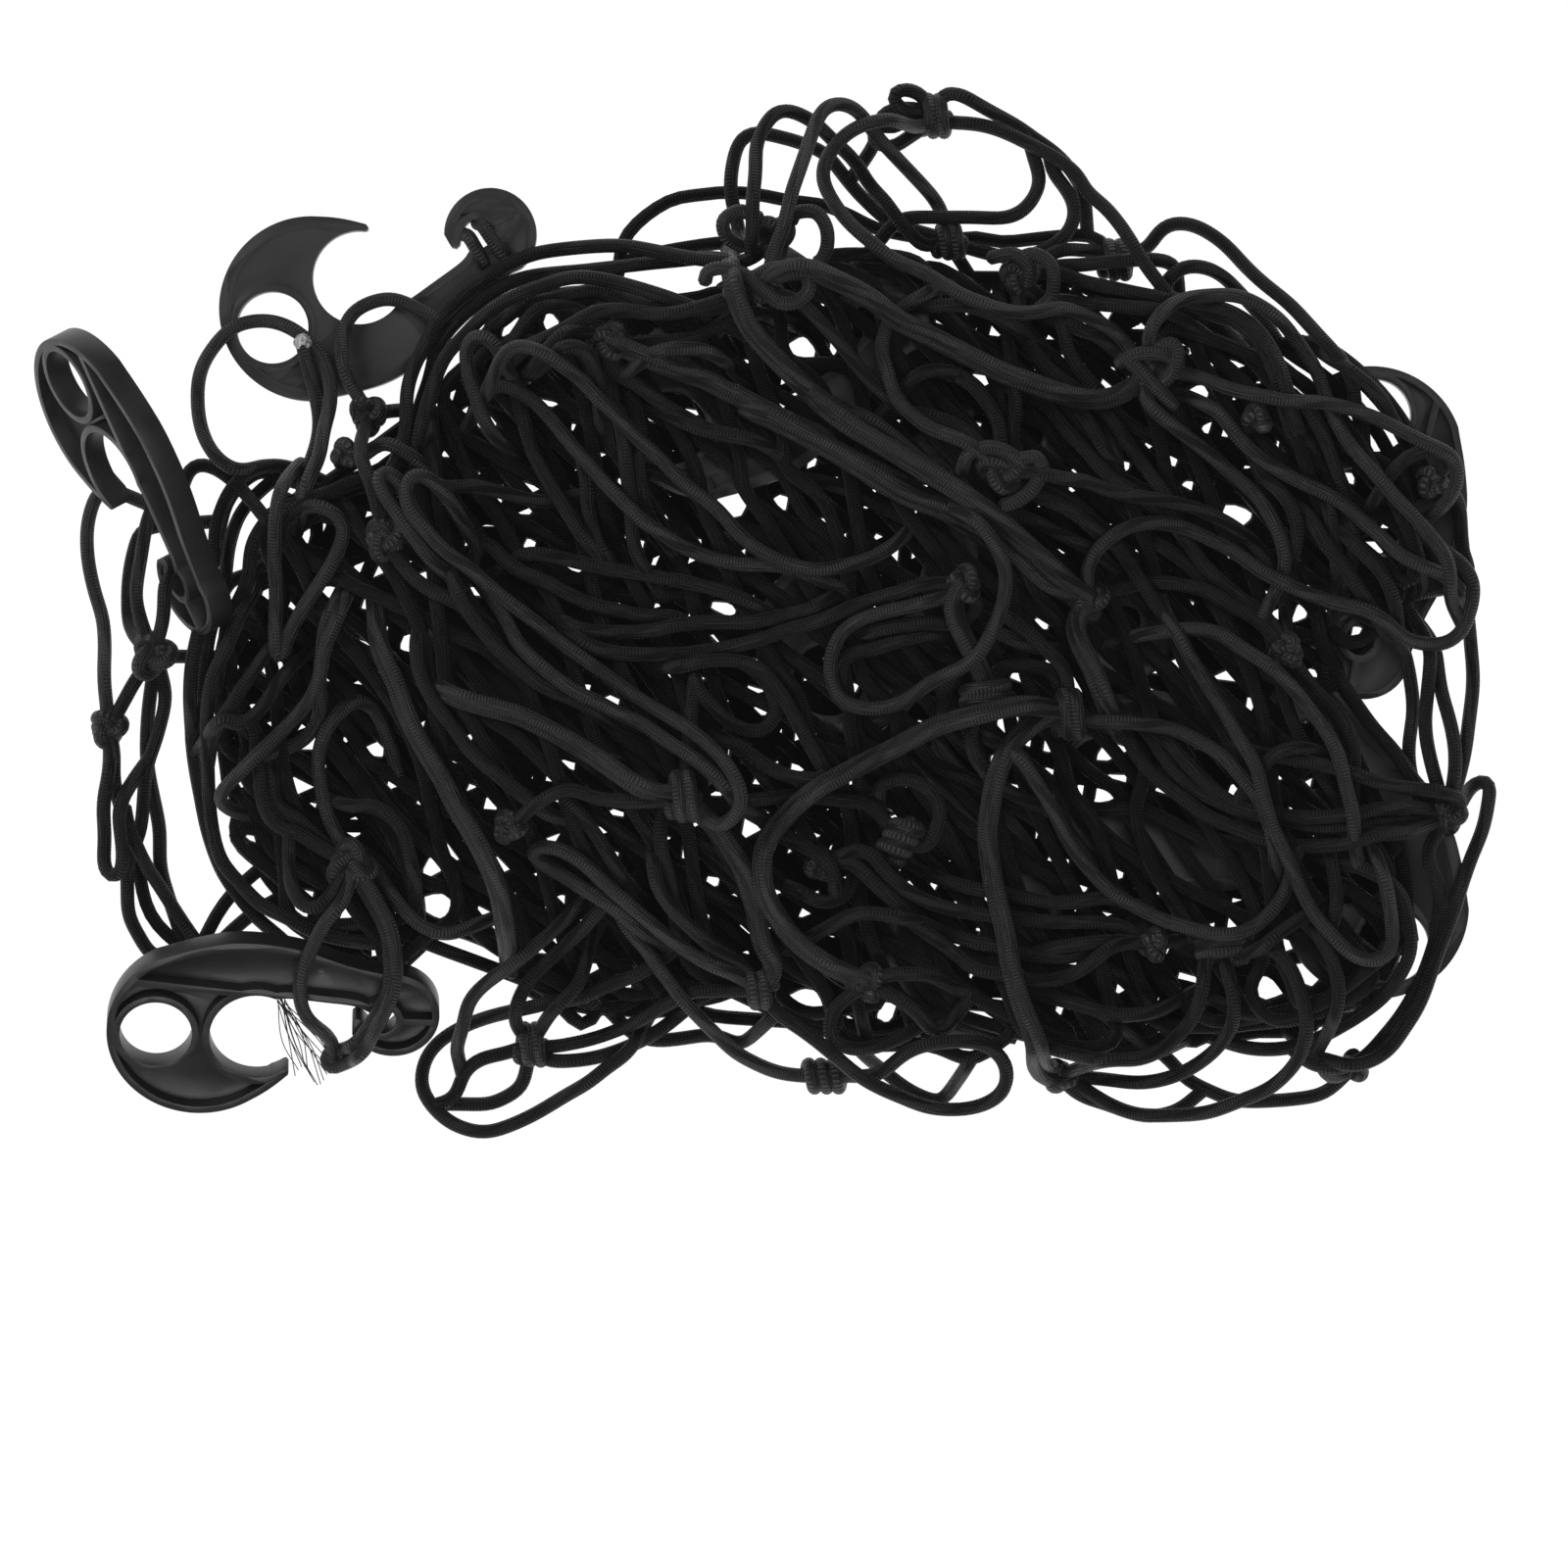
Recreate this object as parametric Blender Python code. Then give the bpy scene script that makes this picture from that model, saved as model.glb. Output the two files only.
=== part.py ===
"""Heaped cargo net: knotted elastic cord in one piece, with the plastic hooks that lie in it.

The net lies on a surface at z = 0. Routes are points chosen by hand, in millimetres seen from above.
Each strand is laid over what is already there, layer by layer, so its heights follow from the order.
"""
import math

import bmesh
import bpy
import numpy as np
from mathutils import Matrix, Vector

MM = 0.001

# Driving sizes, in millimetres
CORD_RADIUS = 2.25
CORD_GAP = 0.4          # air between a strand and the one it lies on
PAIR_PITCH = 5.4        # two strands that run side by side
HOOK_GAP = 0.85         # air between a hook and what lies on it
SAMPLE = 2.0            # step along a route
CELL = 1.0              # step of the height field
FIELD_X = 250
FIELD_Y = 185
SLOPE = 0.6             # steepest rise of a strand over what it crosses
CREST = 0.035           # roundness of a strand where it passes over, per millimetre
THIN = 1.5              # how far a thinned route may leave the laid one
KNOT_REACH = 10.0       # a route that ends this near a knot runs into it
TUCK_REACH = 26.0       # a loose end dives to a lower strand within this distance
TUCK_LENGTH = 16.0      # length over which an end comes down to what it is joined to
TUCK_AHEAD = 7.0        # a loose end looks for its strand this far ahead
TUBE_WIDE = 2.0         # half the width of the square tube that stands for the round cord
SHORTEST = 5.0          # least distance between the points of a tube
LOOP_LENGTH = 18.0      # a strand rises over itself where it comes back after this length
DRAPE_REACH = 90.0      # how far a crest can lift a strand
DRAPE_WIDTH = 4.0       # rounding of a strand's rise and fall

# Hook, in its own plane: u along it, v across it, w its thickness
HOOK_THICK = 8.2
HEAD_RADIUS = 29.2
HOLE = (-13.7, -0.8, 11.4)
MOUTH = (17.7, 3.3, 14.8)
CURL = (61.3, 0.0, 14.6)
SLOT = (57.4, 1.5, 4.7)
RIM = 2.3
POCKET = 5.0

# Hooks: name, head centre x and y, heading, roll about the long axis, pitch, layer
HOOKS = [
    ("hook_1", -143.7, 95.8, 22.6, 0, 0, 0),
    ("hook_2", -209.5, 60.5, -60.6, 244, 0, 0),
    ("hook_3", -178.5, -131.0, 5.0, 208, 0, 6.5),
    ("hook_4", -18.0, 64.0, 27.0, 0, 0, 2.5),
    ("hook_5", -77.0, -8.0, -35.0, -35, 0, 1.5),
    ("hook_6", 66.0, -107.0, 110.0, 8, 0, 1.5),
    ("hook_7", 120.0, -54.0, -15.0, 0, 0, 1.5),
    ("hook_8", 191.0, 48.0, -92.0, 180, 0, 1.5),
    ("hook_9", 84.0, 46.0, -60.0, 0, 0, 1.5),
    ("hook_10", 192.0, -93.0, 110.0, 0, 0, 1.5),
    ("hook_11", 26.0, -9.5, 60.0, 0, 0, 1.5),
]

# Knots: x, y, heading of the wraps' axis, length along it, radius, layer
KNOTS = [
    (-125.5, 62, 90, 15, 6.0, 6), (-208, -37, 80, 14, 6.5, 5), (-193, -14, 60, 18, 7.5, 6),
    (-130, -80, 40, 18, 8.0, 6), (-132, 49, 40, 10, 4.5, 6), (3, 116, 90, 18, 6.5, 6),
    (53.3, 156.8, 0, 9, 7.0, 5), (57.9, 117, 0, 9, 6.0, 6), (80, 105, 90, 14, 6.5, 6),
    (-2.6, 99.6, 10, 22, 5.5, 7), (-49, 83.5, 0, 14, 6.5, 6), (-119, 22, 80, 16, 6.0, 6),
    (-25.6, -58.4, 0, 9, 8.0, 7), (62, 7.9, 10, 12, 6.5, 6), (68.6, -27, 90, 9, 8.0, 7),
    (95.2, -32.7, 0, 9, 8.0, 7), (101, 3, -30, 16, 7.0, 7), (73.6, 42.6, -20, 18, 7.0, 7),
    (122, 75, 80, 14, 7.5, 7), (110.6, 111.3, 0, 8, 6.5, 4), (214, -65, 90, 12, 6.5, 5),
    (144, -105.7, 90, 10, 9.0, 5), (122, -105, 0, 10, 6.0, 5), (31.6, -116.8, 0, 14, 6.5, 6),
    (19, -147, 90, 11, 7.0, 5), (-1.6, -119.5, 90, 12, 5.5, 6), (-74.3, -137, 0, 10, 7.0, 5),
    (-80, -68, 60, 12, 5.5, 5), (42, -72, 60, 16, 5.5, 6), (17, -80, 30, 10, 6.0, 5),
    (163, -13, 20, 12, 6.0, 5), (154, 60, 30, 10, 5.5, 5), (209, 40, 60, 10, 5.5, 5),
    (186, -144, 20, 10, 5.5, 4), (93, -147, 60, 12, 6.0, 5), (-137, -142, -50, 10, 5.5, 4),
]

# Routes seen from above. Each row: layer (9 on top), kind (s one strand, p a pair side by side,
# b a pair that turns back on itself at its far end), then the points x,y. A row runs on over
# indented lines. A pair is built as one flat strand, as wide as both. A capital letter marks a
# low route that shows at the heap's edge.
ROUTES = """
9 s -160,46 -166,44 -173,48 -178,56 -180,66 -179,76 -174,84 -168,90 -159,92 -151,90 -144,85 -139,78
   -137,70 -137,64 -139,56 -140,48 -144,39 -146,32
8.5 s -146,84 -144,75 -142,67 -141,60 -142,52 -145,44
9 s -125,62 -130,70 -133,76 -134,83 -133,90 -130,95 -124,98 -118,99 -113,97
6 s -125,62 -127,52 -125,44 -122,37 -119,22
7 s -125,62 -114,64 -107,63
8 s -210,40 -213,35 -215,27 -215,19 -214,12 -212,4 -210,-2 -209,-12 -209,-20 -208,-37
7 S -194,34 -196,27 -197,18 -198,10 -198,2 -193,-14
6 s -198,27 -201,16 -202,8 -202,-1 -201,-6 -193,-14
7 s -183,13 -188,11 -189,6 -189,-2 -193,-14
5 S -193,-14 -198,-20 -202,-27 -208,-37
6 S -208,-37 -206,-45 -206,-53 -204,-62 -200,-71 -196,-80 -191,-88 -186,-96 -180,-105 -176,-112
6 s -208,-37 -207,-50 -209,-60 -209,-72 -209,-80 -206,-84 -203,-81 -203,-73 -204,-62 -199,-52
5 s -193,-14 -195,-26 -196,-37 -196,-48 -194,-59 -192,-69 -192,-80 -190,-88 -186,-100
5 s -193,-14 -190,-26 -191,-33 -193,-41 -196,-50 -197,-61 -198,-70 -202,-80 -202,-88 -202,-96
   -199,-102 -195,-109
4 s -198,-86 -196,-94 -193,-99 -189,-103 -184,-107 -178,-112
4 s -162,-95 -169,-101 -174,-106 -178,-114
4 s -169,-89 -174,-96 -177,-102 -182,-112
6 s -183,46 -178,47 -172,44 -167,40 -160,32
6 s -174,26 -171,35 -166,42 -159,46 -152,46 -146,44
8 s -146,48 -150,43 -153,34 -154,20 -154,5 -154,-10 -153,-17 -150,-8 -145,1 -138,11 -133,21
   -132,27 -136,31 -142,33 -148,31
5 S -170,10 -177,-5 -179,-16 -181,-27 -182,-37 -181,-48 -179,-59 -177,-69 -174,-78 -171,-84
   -166,-91 -161,-97 -154,-103 -149,-108 -137,-120
6 S -162,4 -167,-5 -169,-12 -173,-19 -175,-27 -176,-37 -176,-48 -176,-59 -175,-69 -172,-79
   -166,-86 -159,-93 -150,-97 -143,-101 -132,-104
7 s -152,-6 -158,-15 -162,-21 -166,-27 -169,-32 -173,-37 -175,-43
7 s -176,-40 -170,-33 -168,-36 -164,-36 -160,-33 -156,-28 -153,-22 -146,-14
9 s -166,-64 -172,-61 -172,-58 -166,-52 -160,-46 -154,-40 -147,-33 -142,-27 -139,-19 -138,-12
   -135,-5 -131,6
8 s -154,-44 -147,-42 -142,-37 -140,-31 -140,-21 -139,-14 -138,-5 -134,5
8 s -130,-80 -133,-74 -138,-65 -140,-56 -141,-48 -139,-39 -134,-32 -129,-28 -124,-30 -120,-38
   -117,-48
6 s -160,-46 -159,-51 -158,-61 -154,-68 -147,-70 -141,-74 -130,-80
5 s -156,-47 -155,-53 -154,-62 -148,-65 -143,-70 -137,-75 -130,-80
6 s -150,-76 -149,-86 -145,-93 -139,-93 -130,-80
8 s -130,-80 -132,-91 -138,-98 -143,-108 -146,-116 -146,-124 -143,-130 -137,-135 -137,-142
9 b -130,-80 -126,-86 -122,-93 -118,-101 -117,-110 -117,-118 -121,-127 -125,-133 -128,-139
8 s -130,-80 -124,-79 -120,-86 -113,-95 -107,-100 -100,-102 -94,-100 -86,-97
7 s -136,-60 -129,-62 -124,-61 -117,-65 -113,-71 -111,-80 -110,-86
8 p -122,-5 -120,-14 -116,-22 -112,-33 -107,-43 -101,-53 -97,-61 -92,-69 -88,-76 -85,-83 -83,-89
   -82,-96 -81,-103 -81,-109
7 s -108,-4 -109,-12 -108,-19 -106,-24 -102,-31 -98,-36 -93,-43 -87,-49 -82,-53 -76,-58 -71,-62
   -66,-65 -60,-66
9 s -94,26 -97,32 -101,37 -105,41 -110,42 -112,37 -111,31 -106,25 -100,18 -94,14 -87,8 -80,2
   -73,-3 -66,-9 -59,-14 -52,-19 -45,-24 -38,-29 -31,-33 -23,-38 -18,-42 -13,-47 -9,-53 -7,-59
   -8,-63 -11,-66 -15,-68 -25.6,-58.4
8 s -104,21 -107,26 -111,33 -113,39 -118,43 -121,42 -119,36 -114,29 -110,23 -104,15 -98,10
8 s -125,49 -120,53 -114,50 -109,47 -103,40
8 s -90,10 -85,3 -83,0 -80,-5 -77,-11 -72,-16 -66,-21 -59,-26 -52,-29 -45,-33 -38,-36 -31,-41
   -23,-46 -18,-50 -12,-56 -8,-62
7 s -98,12 -96,5 -92,-2 -87,-8 -82,-14 -76,-19 -70,-24 -63,-27 -56,-30 -49,-36
6 S -119,22 -113,13 -109,9 -103,5 -98,3 -93,0 -86,-5
8 p -103,-24 -98,-27 -92,-29 -85,-31 -77,-33 -71,-36 -65,-39 -58,-43 -50,-48 -43,-53 -36,-57
   -25.6,-58.4
7 S -80,-68 -70,-60 -61,-56 -53,-59 -44,-60 -35,-60 -25.6,-58.4
6 s -92,14 -90,20 -87,22 -85,19 -80,14 -75,11 -67,8 -60,4 -53,1 -46,0 -39,-2 -28,-2 -20,-8
5 s -84,12 -77,17 -75,18 -67,17 -59,15 -50,13 -42,12 -32,10 -22,8 -14,6 -6,3 2,-2
4 s -70,14 -63,11 -56,9 -50,6 -43,5 -36,4 -28,5 -20,5 -10,9
6 s -66,-2 -59,-6 -52,-7 -45,-7 -38,-7 -29,-5 -21,-4 -12,-4 -4,-4 5,-2 14,0 24,6
7 S -64,-4 -56,-11 -50,-13 -43,-14 -36,-14 -28,-14 -20,-13 -12,-12 0,-9 8,-6 16,-4 25,0 33,3
   41,5 50,8 62,8
6 S 3,116 -6,109 -21,110 -35,113 -45,115 -57,115 -68,114 -76,112 -84,108 -92,103 -99,97 -104,91
   -108,83 -111,77 -113,69 -113,59 -114,52 -119,40
5 s -2.6,99.6 -12,110 -30,110 -44,109 -57,108 -68,107 -78,105 -86,101 -94,95 -100,89 -104,83
   -106,74 -109,65 -111,56 -116,44
6 s -2.6,99.6 -18,93 -27,96 -39,100 -50,103 -61,104 -71,101 -81,97 -89,92 -95,86 -101,80 -104,73
   -107,63 -109,54 -110,46
4 S -46,110 -46,116 -42,122 -36,127 -29,131 -21,132 -12,133 -1,132 8,130 18,129 28,125 36,121
   57.9,117
4 s -40,112 -33,114 -21,116 -12,117 3,116
9 s -87,70 -83,76 -81,80 -77,82 -73,81 -68,79 -63,75 -57,71 -52,65 -46,60 -41,54 -35,49 -30,44
   -24,38 -17,33 -12,28 -9,24 -3,19 4,15 11,13 18,12 26,14 33,16 40,20 47,27
8 s -92,62 -88,68 -86,71 -82,71 -76,68 -71,64 -65,57 -61,52 -55,45 -50,39 -45,34 -39,28 -33,24
   -25,19 -17,16 -8,14 0,14 8,13 20,8
8 s -80,50 -85,54 -87,57 -90,63 -92,71 -94,77 -94,83 -92,86 -88,86 -85,84 -83,80 -79,72
7 s -76,74 -68,80 -64,85 -59,87 -54,86 -49,83.5
8 p -49,83.5 -41,80 -34,77 -26,74 -19,72 -12,68 -7,66 0,62 8,58 16,53 25,48 33,42
8 s -40,76 -34,80 -25,81 -17,80 -9,74
7 s -70,76 -64,81 -60,82 -55,80 -53,74 -52,69 -52,60
7 S -49,83.5 -47,73 -41,71 -35,66 -30,63 -23,59 -15,55 -6,54 2,50
7 s -82,76 -79,69 -76,59 -73,49 -68,40 -63,32 -58,24 -52,17
6 s -58,48 -56,40 -56,33 -54,25 -52,19 -46,12
6 s -49,83.5 -48,66 -45,57 -44,49 -43,40 -42,32 -41,19 -36,10
5 s -44,72 -41,64 -39,56 -40,47 -39,38 -37,30 -32,22
6 s -84,74 -82,81 -77,87 -73,93 -69,95 -60,95
6 s -80,78 -75,82 -69,84 -61,88 -52,93 -41,93 -28,92 -2.6,99.6
5 s -82,92 -76,96 -70,97 -61,99 -52,100 -44,97 -34,95 -21,93 -10,88
5 s -36,84 -28,84 -21,85 -14,89 -6,93 2,92
5 s -108,42 -100,38 -92,39 -83,37 -75,35 -70,34 -62,36
7 s -32,62 -25,58 -20,56 -12,54 -4,53 4,49
6 S 3,116 -7,114 -9,124 -11,131 -11,138 -10,144 -8,150 -3,152 2,151 10,149 15,147 18,146 21,143
   28,134 35,127 40,123 57.9,117
7 S 3,116 -5,109 -4,117 -4,127 -3,137 -3,145 0,152 3,156 7,157 12,155 16,153 21,148 28,142
   33,134 38,129 41,124 50,114
8 s -2.6,99.6 1,104 3,112 6,120 8,129 11,138 14,147 16,153 19,158 24,159 29,157 32,153 36,148
   44,140 50,134 55,128 57.9,117
7 s 53.3,156.8 50,163 45,165 40,164 40,161 41,159 45,158 53.3,156.8
6 s 53.3,156.8 50,159 44,159 38,158 35,154 36,150
5 s 53.3,156.8 56,164 62,163 67,160 75,156 81,153 85,150 91,146 96,141 101,133
6 S 53.3,156.8 55,155 66,154 74,152 83,148 91,144 99,138 101,133 107,128 113,120 117,113 121,107
   126,101 128,98 132,92
6 s 53.3,156.8 50,153 45,150 40,146 36,147 33,150 35,154 40,152
9 s 53.3,156.8 48,152 41,154 33,153 26,150 21,145 18,139 18,134 21,128 25,122 30,117 35,113
   40,109 48,106 55,102 61,98 69,95 76,93 85,93 92,95 99,93 106,90 112,86 116,80 122,75
6 s 84,148 85,143 87,138 86,133 82,127 76,124 68,124 58,124 50,124 43,124 39,121 36,117 30,110
5 s 91,139 95,134 98,128 97,122 93,117 85,113 77,112 68,114 61,116 57.9,117
9 p -2.6,99.6 6,105 14,105 21,102 28,99 35,95 41,90 50,86 58,82 66,78 74,74 83,71 91,68 101,66
   110,67 122,75
8 p -11,107 -10,100 -8,93 -5,87 0,81 5,76 10,71 16,66 23,61 30,56 36,52 45,47 55,41
7 s 6,97 11,95 16,90 21,85 26,79 31,73 36,68 44,62
7 s 40,96 48,94 55,95 63,95 70,93 76,90 84,84
5 s 37,62 44,70 48,74 54,75 60,74 65,71 72,64
6 s 58,74 64,71 69,65 73,58 73.6,42.6
6 s 42,62 50,61 56,59 63,56 67,51 73.6,42.6
8 s 57,102 49,98 44,95 39,91 37,86 36,80 38,75 40,67 45,61 51,56 59,53 65,50 73.6,42.6
6 s 80,105 93,92 94,85 97,78 103,71 110,64
6 s 80,105 80,90 82,85 86,79 91,74 95,71 104,66
5 s 80,105 92,114 100,114 108,114 110.6,111.3
5 s 80,105 92,109 99,109 107,110 122,111 130,110
6 s 84,106 92,107 99,104 108,102 117,100 126,98 134,94
6 s 94,98 101,97 110,96 119,95 126,94 134,90
7 s 90,92 97,89 106,86 111,81 122,75
4 S 57.9,117 66,119 74,117 84,118 94,119 104,119 110.6,111.3
9 p -6,63 2,59 16,52 28,45 38,39 47,34 56,31 64,26
8.5 s 0,64 8,59 21,51 33,45 45,39 55,33 63,28 72,22 81,14 89,7 101,3
9 p 18,63 26,57 38,50 49,43 59,37 68,31 78,23 86,16 94,9 101,3
8 s 26,62 33,59 41,53 50,45 58,39 66,34
9 s 122,75 129,75 137,73 146,69 155,67 165,65 174,65 183,63 192,60 201,55 209,51 214,49 217,44
   216,38 213,33 206,28
7 s 216,47 209,50 203,49 197,44 194,40 190,32
8 s 122,75 119,66 126,59 133,54 141,48 148,42 155,35 159,28 162,21 163,15 162,10 158,2
8.5 s 122,75 120,84 121,89 126,95 132,98 140,99 148,99 155,96 162,91 167,85 172,78 175,71 176,66
   179,59 182,53 186,48 192,41 197,35 203,29 208,23 212,18 214,12 214,4
5 S 110.6,111.3 121,115 124,120 128,123 134,123 139,121 146,116 152,109 158,103 165,97 171,90
   176,84 182,77 185,70 185,65 188,58
5 s 122,97 126,103 130,108 136,109 141,108 146,105 150,101 156,95
6 s 178,79 184,75 189,71 194,66 197,60 202,52
5 s 209,40 217,37 219,30 219,24 220,17 220,8
6 p 134,96 141,95 148,92 155,86 159,79 162,70 164,62
8 s 136,66 143,61 146,56 152,50 159,45 168,40 175,37 183,32 188,27 194,22 197,18 204,14 212,11
   218,6 221,-1
6 s 168,66 171,62 175,55 178,48 180,42 184,34
5 s 176,36 177,30 178,24 179,18 180,9
5 s 180,31 183,27 185,22 184,15 183,11 181,4
6 s 165,34 171,29 175,21 181,14 186,6 190,1 194,-6
6 s 181,24 186,19 192,13 196,6 198,-2 199,-9
6 s 156,42 161,38 165,32 167,26 166,19 164,11 163,-13
5 S 84,68 90,63 94,57 99,52 104,46 110,40 115,38 122,33
5 s 97,66 100,61 105,53 110,46
6 s 103,66 107,62 113,54 118,47 123,40 126,36 130,29
7 S 73.6,42.6 86,42 92,40 99,40 106,37 116,35 125,34 134,32 142,29 149,25 155,20 159,14 163,6
8 s 101,3 101,14 105,20 110,24 117,27 126,27 134,25 142,21 149,17 155,12 163,8 170,5 179,2
   188,0 195,-4 200,-9 209,-11 215,-10 219,-6 221,0 222,8 219,14 214,18 208,22
6 s 85,38 92,35 99,31 106,25 112,18 117,10 122,3 126,-3 131,-9
5 s 118,24 124,21 131,16 137,10 143,4
5 s 128,28 132,23 136,16 143,9 150,3 157,-2 163,-13
5 s 116,8 124,9 131,8 139,6 146,1 154,-3 163,-13
6 s 70,30 78,29 84,28 91,24 98,21 103,19 109,14
6 s 75,40 82,37 89,34 97,30 104,24 111,20
9 s 62,8 59,5 50,2 41,0 33,-2 26,-5 22,-10 20,-17 21,-24 24,-29 30,-31 36,-31 43,-29 50,-24
   55,-21 60,-19 65,-16 68,-12 71,-6 74,1 75,9 74,15 70,22 67,26 60,31
7 s 24,-9 30,-8 36,-6 44,-5 51,-4 59,-5 68,0
6 s 24,-26 23,-20 24,-15 28,-13 33,-13 41,-10 50,-8 58,-8
8 p 68.6,-27 68,-21 64,-13 60,-5 58,2
6 s 53,-36 55,-29 56,-25 59,-22 63,-18 70,-14
9 p 95.2,-32.7 83,-30 74,-31 66,-33 58,-35 50,-38 41,-43 33,-47 25,-51 16,-56 10,-61 5,-66 1,-71
   -1,-76 -1,-83 0,-89 3,-95 7,-101 12,-106 18,-110 23,-113 31.6,-116.8
8 b 95.2,-32.7 86,-34 81,-38 76,-43 73,-49 71,-56 70,-63 69,-70 70,-76 71,-84 73,-93 75,-101
   76,-109 78,-117 80,-124 83,-131 85,-137 86,-145
8 p 101,3 97,-4 98,-10 102,-18 105,-26 108,-33
7 s -25.6,-58.4 -22,-20 -22,-24 -17,-30 -12,-35 -6,-38 0,-38 3,-34 4,-30 1,-24 -2,-20 -8,-16
7 s -34,-18 -25,-18 -20,-16 -13,-16 -8,-16 -1,-19 4,-25 9,-33 12,-39 16,-46 19,-51 24,-58
7 s -14,-40 -8,-43 -1,-48 6,-52 14,-53 19,-53 28,-50
7 s 36,-64 35,-58 36,-54 42,-53 48,-54 53,-58 55,-63 54,-68 50,-76
7 s 68.6,-27 64,-37 64,-43 67,-49 73,-55 82,-60
6 s 68.6,-27 70,-35 74,-43 79,-47 83,-53 88,-59 94,-68 100,-76
6 s 70,0 75,-2 82,-7 88,-13 94,-19 95.2,-32.7
5 s 66,-4 72,-7 79,-10 85,-12 93,-12
5 s 68.6,-27 73,-18 81,-18 90,-19 95.2,-32.7
7 s -8,-60 2,-59 10,-58 18,-59 27,-60 33,-61 42,-72
8 s 116,-8 124,-7 132,-6 141,-7 148,-12 156,-17 163,-23 169,-30 175,-38 179,-47 181,-56 183,-63
   184,-74
6 s 163,-13 171,-24 178,-31 183,-39 184,-48 184,-58
9 s 126,-2 130,-10 136,-20 143,-31 148,-41 153,-49 155,-58 158,-68 163,-78 167,-87 171,-95
   177,-102 183,-108 189,-110 195,-108 196,-101 195,-94 194,-88 192,-80
8 s 95.2,-32.7 101,-35 110,-35 118,-36 127,-37 135,-41 142,-45 148,-52 154,-59 158,-70 160,-80
7 s 107,-34 112,-37 116,-45 123,-53 131,-59 139,-65 149,-69 160,-73 171,-74 183,-73 191,-70
   200,-70 214,-65
6 s 114,-34 120,-38 125,-46 133,-55 142,-60 152,-64 163,-66 174,-68 185,-68 196,-67 214,-65
6 s 121,-36 126,-41 133,-49 141,-57 149,-62 160,-64 171,-65 183,-64 194,-62 205,-62 214,-65
7 S 214,-65 218,-62 222,-56 226,-53 229,-54 228,-59 226,-68 222,-77 218,-88 215,-97 211,-107
   208,-116 205,-124 200,-132 196,-138 189,-142 183,-143 176,-141
5 S 222,12 220,7 222,-6 223,-21 221,-35 219,-46 214,-65
5 s 209,-8 211,-12 212,-24 215,-37 216,-48 214,-65
6 s 206,-6 209,-12 208,-24 207,-37 209,-50 214,-65
5 s 198,-6 201,-12 203,-21 204,-31 202,-43 203,-53 207,-62
5 s 182,-24 186,-30 191,-37 198,-45 203,-53 214,-65
6 s 152,-44 160,-46 171,-48 183,-51 191,-54 202,-56 212,-57 220,-60
6 s 152,-53 156,-48 159,-45 165,-43 172,-44
5 s 176,-78 184,-80 191,-83 198,-88 201,-97 202,-105 200,-112 195,-120 188,-126 180,-131 173,-135
   163,-138 152,-138 142,-135
6 s 214,-65 207,-77 211,-85 212,-95 210,-105 206,-116 200,-127 194,-135 188,-141 180,-144 172,-143
8 s 72,-42 79,-46 85,-55 89,-61 93,-69 97,-76 103,-83 109,-89 118,-94 124,-97 134,-100 144,-102
   152,-100 157,-96 163,-88 165,-80
7 S 144,-105.7 138,-109 137,-118 135,-126 131,-132 124,-138 116,-141 106,-141 93,-147
6 s 144,-105.7 144,-109 146,-118 147,-127 144,-135 137,-142 128,-147 118,-149 107,-148 93,-147
6 S 144,-105.7 158,-106 164,-112 167,-120 169,-129 168,-137 165,-143 158,-150 149,-154 139,-158
   128,-159 117,-159 107,-155 101,-151 93,-147
5 s 130,-144 133,-148 141,-152 149,-155 160,-155 171,-154 178,-152 186,-144
5 s 168,-136 174,-140 175,-144 179,-148 186,-144
4 s 144,-124 150,-127 162,-127 171,-127 180,-124 188,-122
6 s 170,-99 174,-103 177,-110 179,-118 178,-126 176,-133
6 s 144,-105.7 152,-108 158,-103 165,-98 169,-96 176,-92
5 s 122,-105 120,-101 114,-96
6 S 122,-105 129,-104 144,-105.7
6 s 174,-70 177,-77 178,-84 179,-90 178,-96 176,-103
6 s 31.6,-116.8 39,-114 46,-114 51,-114 58,-118
6 s 31.6,-116.8 25,-122 22,-124 20,-129 20,-134 24,-137 30,-138 36,-137 43,-134 48,-131 55,-127
6 s 31.6,-116.8 40,-121 45,-124 50,-129 53,-133 56,-132 60,-127
7 S 19,-147 35,-146 40,-142 45,-138 51,-136 60,-135 68,-136 74,-140 76,-145 75,-151 70,-155
   63,-157 56,-157 50,-156 43,-153 36,-150 29,-146 22,-140 16,-135 9,-130 4,-127 -1.6,-119.5
5 s 33,-142 38,-146 43,-150 48,-153 56,-156
9 s -34,-104 -36,-103 -42,-98 -48,-93 -56,-88 -64,-83 -71,-79 -74,-75 -68,-74 -62,-76 -56,-80
   -50,-86 -43,-92 -36,-98 -30,-103 -23,-108 -16,-112 -10,-114 -1.6,-119.5
8 s -47,-92 -44,-99 -38,-106 -33,-113 -28,-120 -22,-127 -16,-133 -10,-139 -3,-143 4,-146 12,-147
   19,-147
5 s -42,-134 -35,-136 -25,-135 -16,-134 -8,-138
6 S -40,-134 -44,-140 -50,-144 -56,-149 -63,-153 -71,-158 -79,-162 -88,-165 -95,-164 -101,-161
   -106,-156 -109,-151 -109,-146 -107,-140 -102,-135 -97,-132 -90,-129 -83,-127 -74,-125 -66,-123
   -58,-122 -50,-118 -41,-115 -33,-110
5 s -74.3,-137 -77,-150 -81,-153 -87,-156 -95,-156 -103,-156
6 s -104,-156 -98,-154 -97,-149 -94,-144 -89,-141 -83,-140 -74.3,-137
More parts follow.
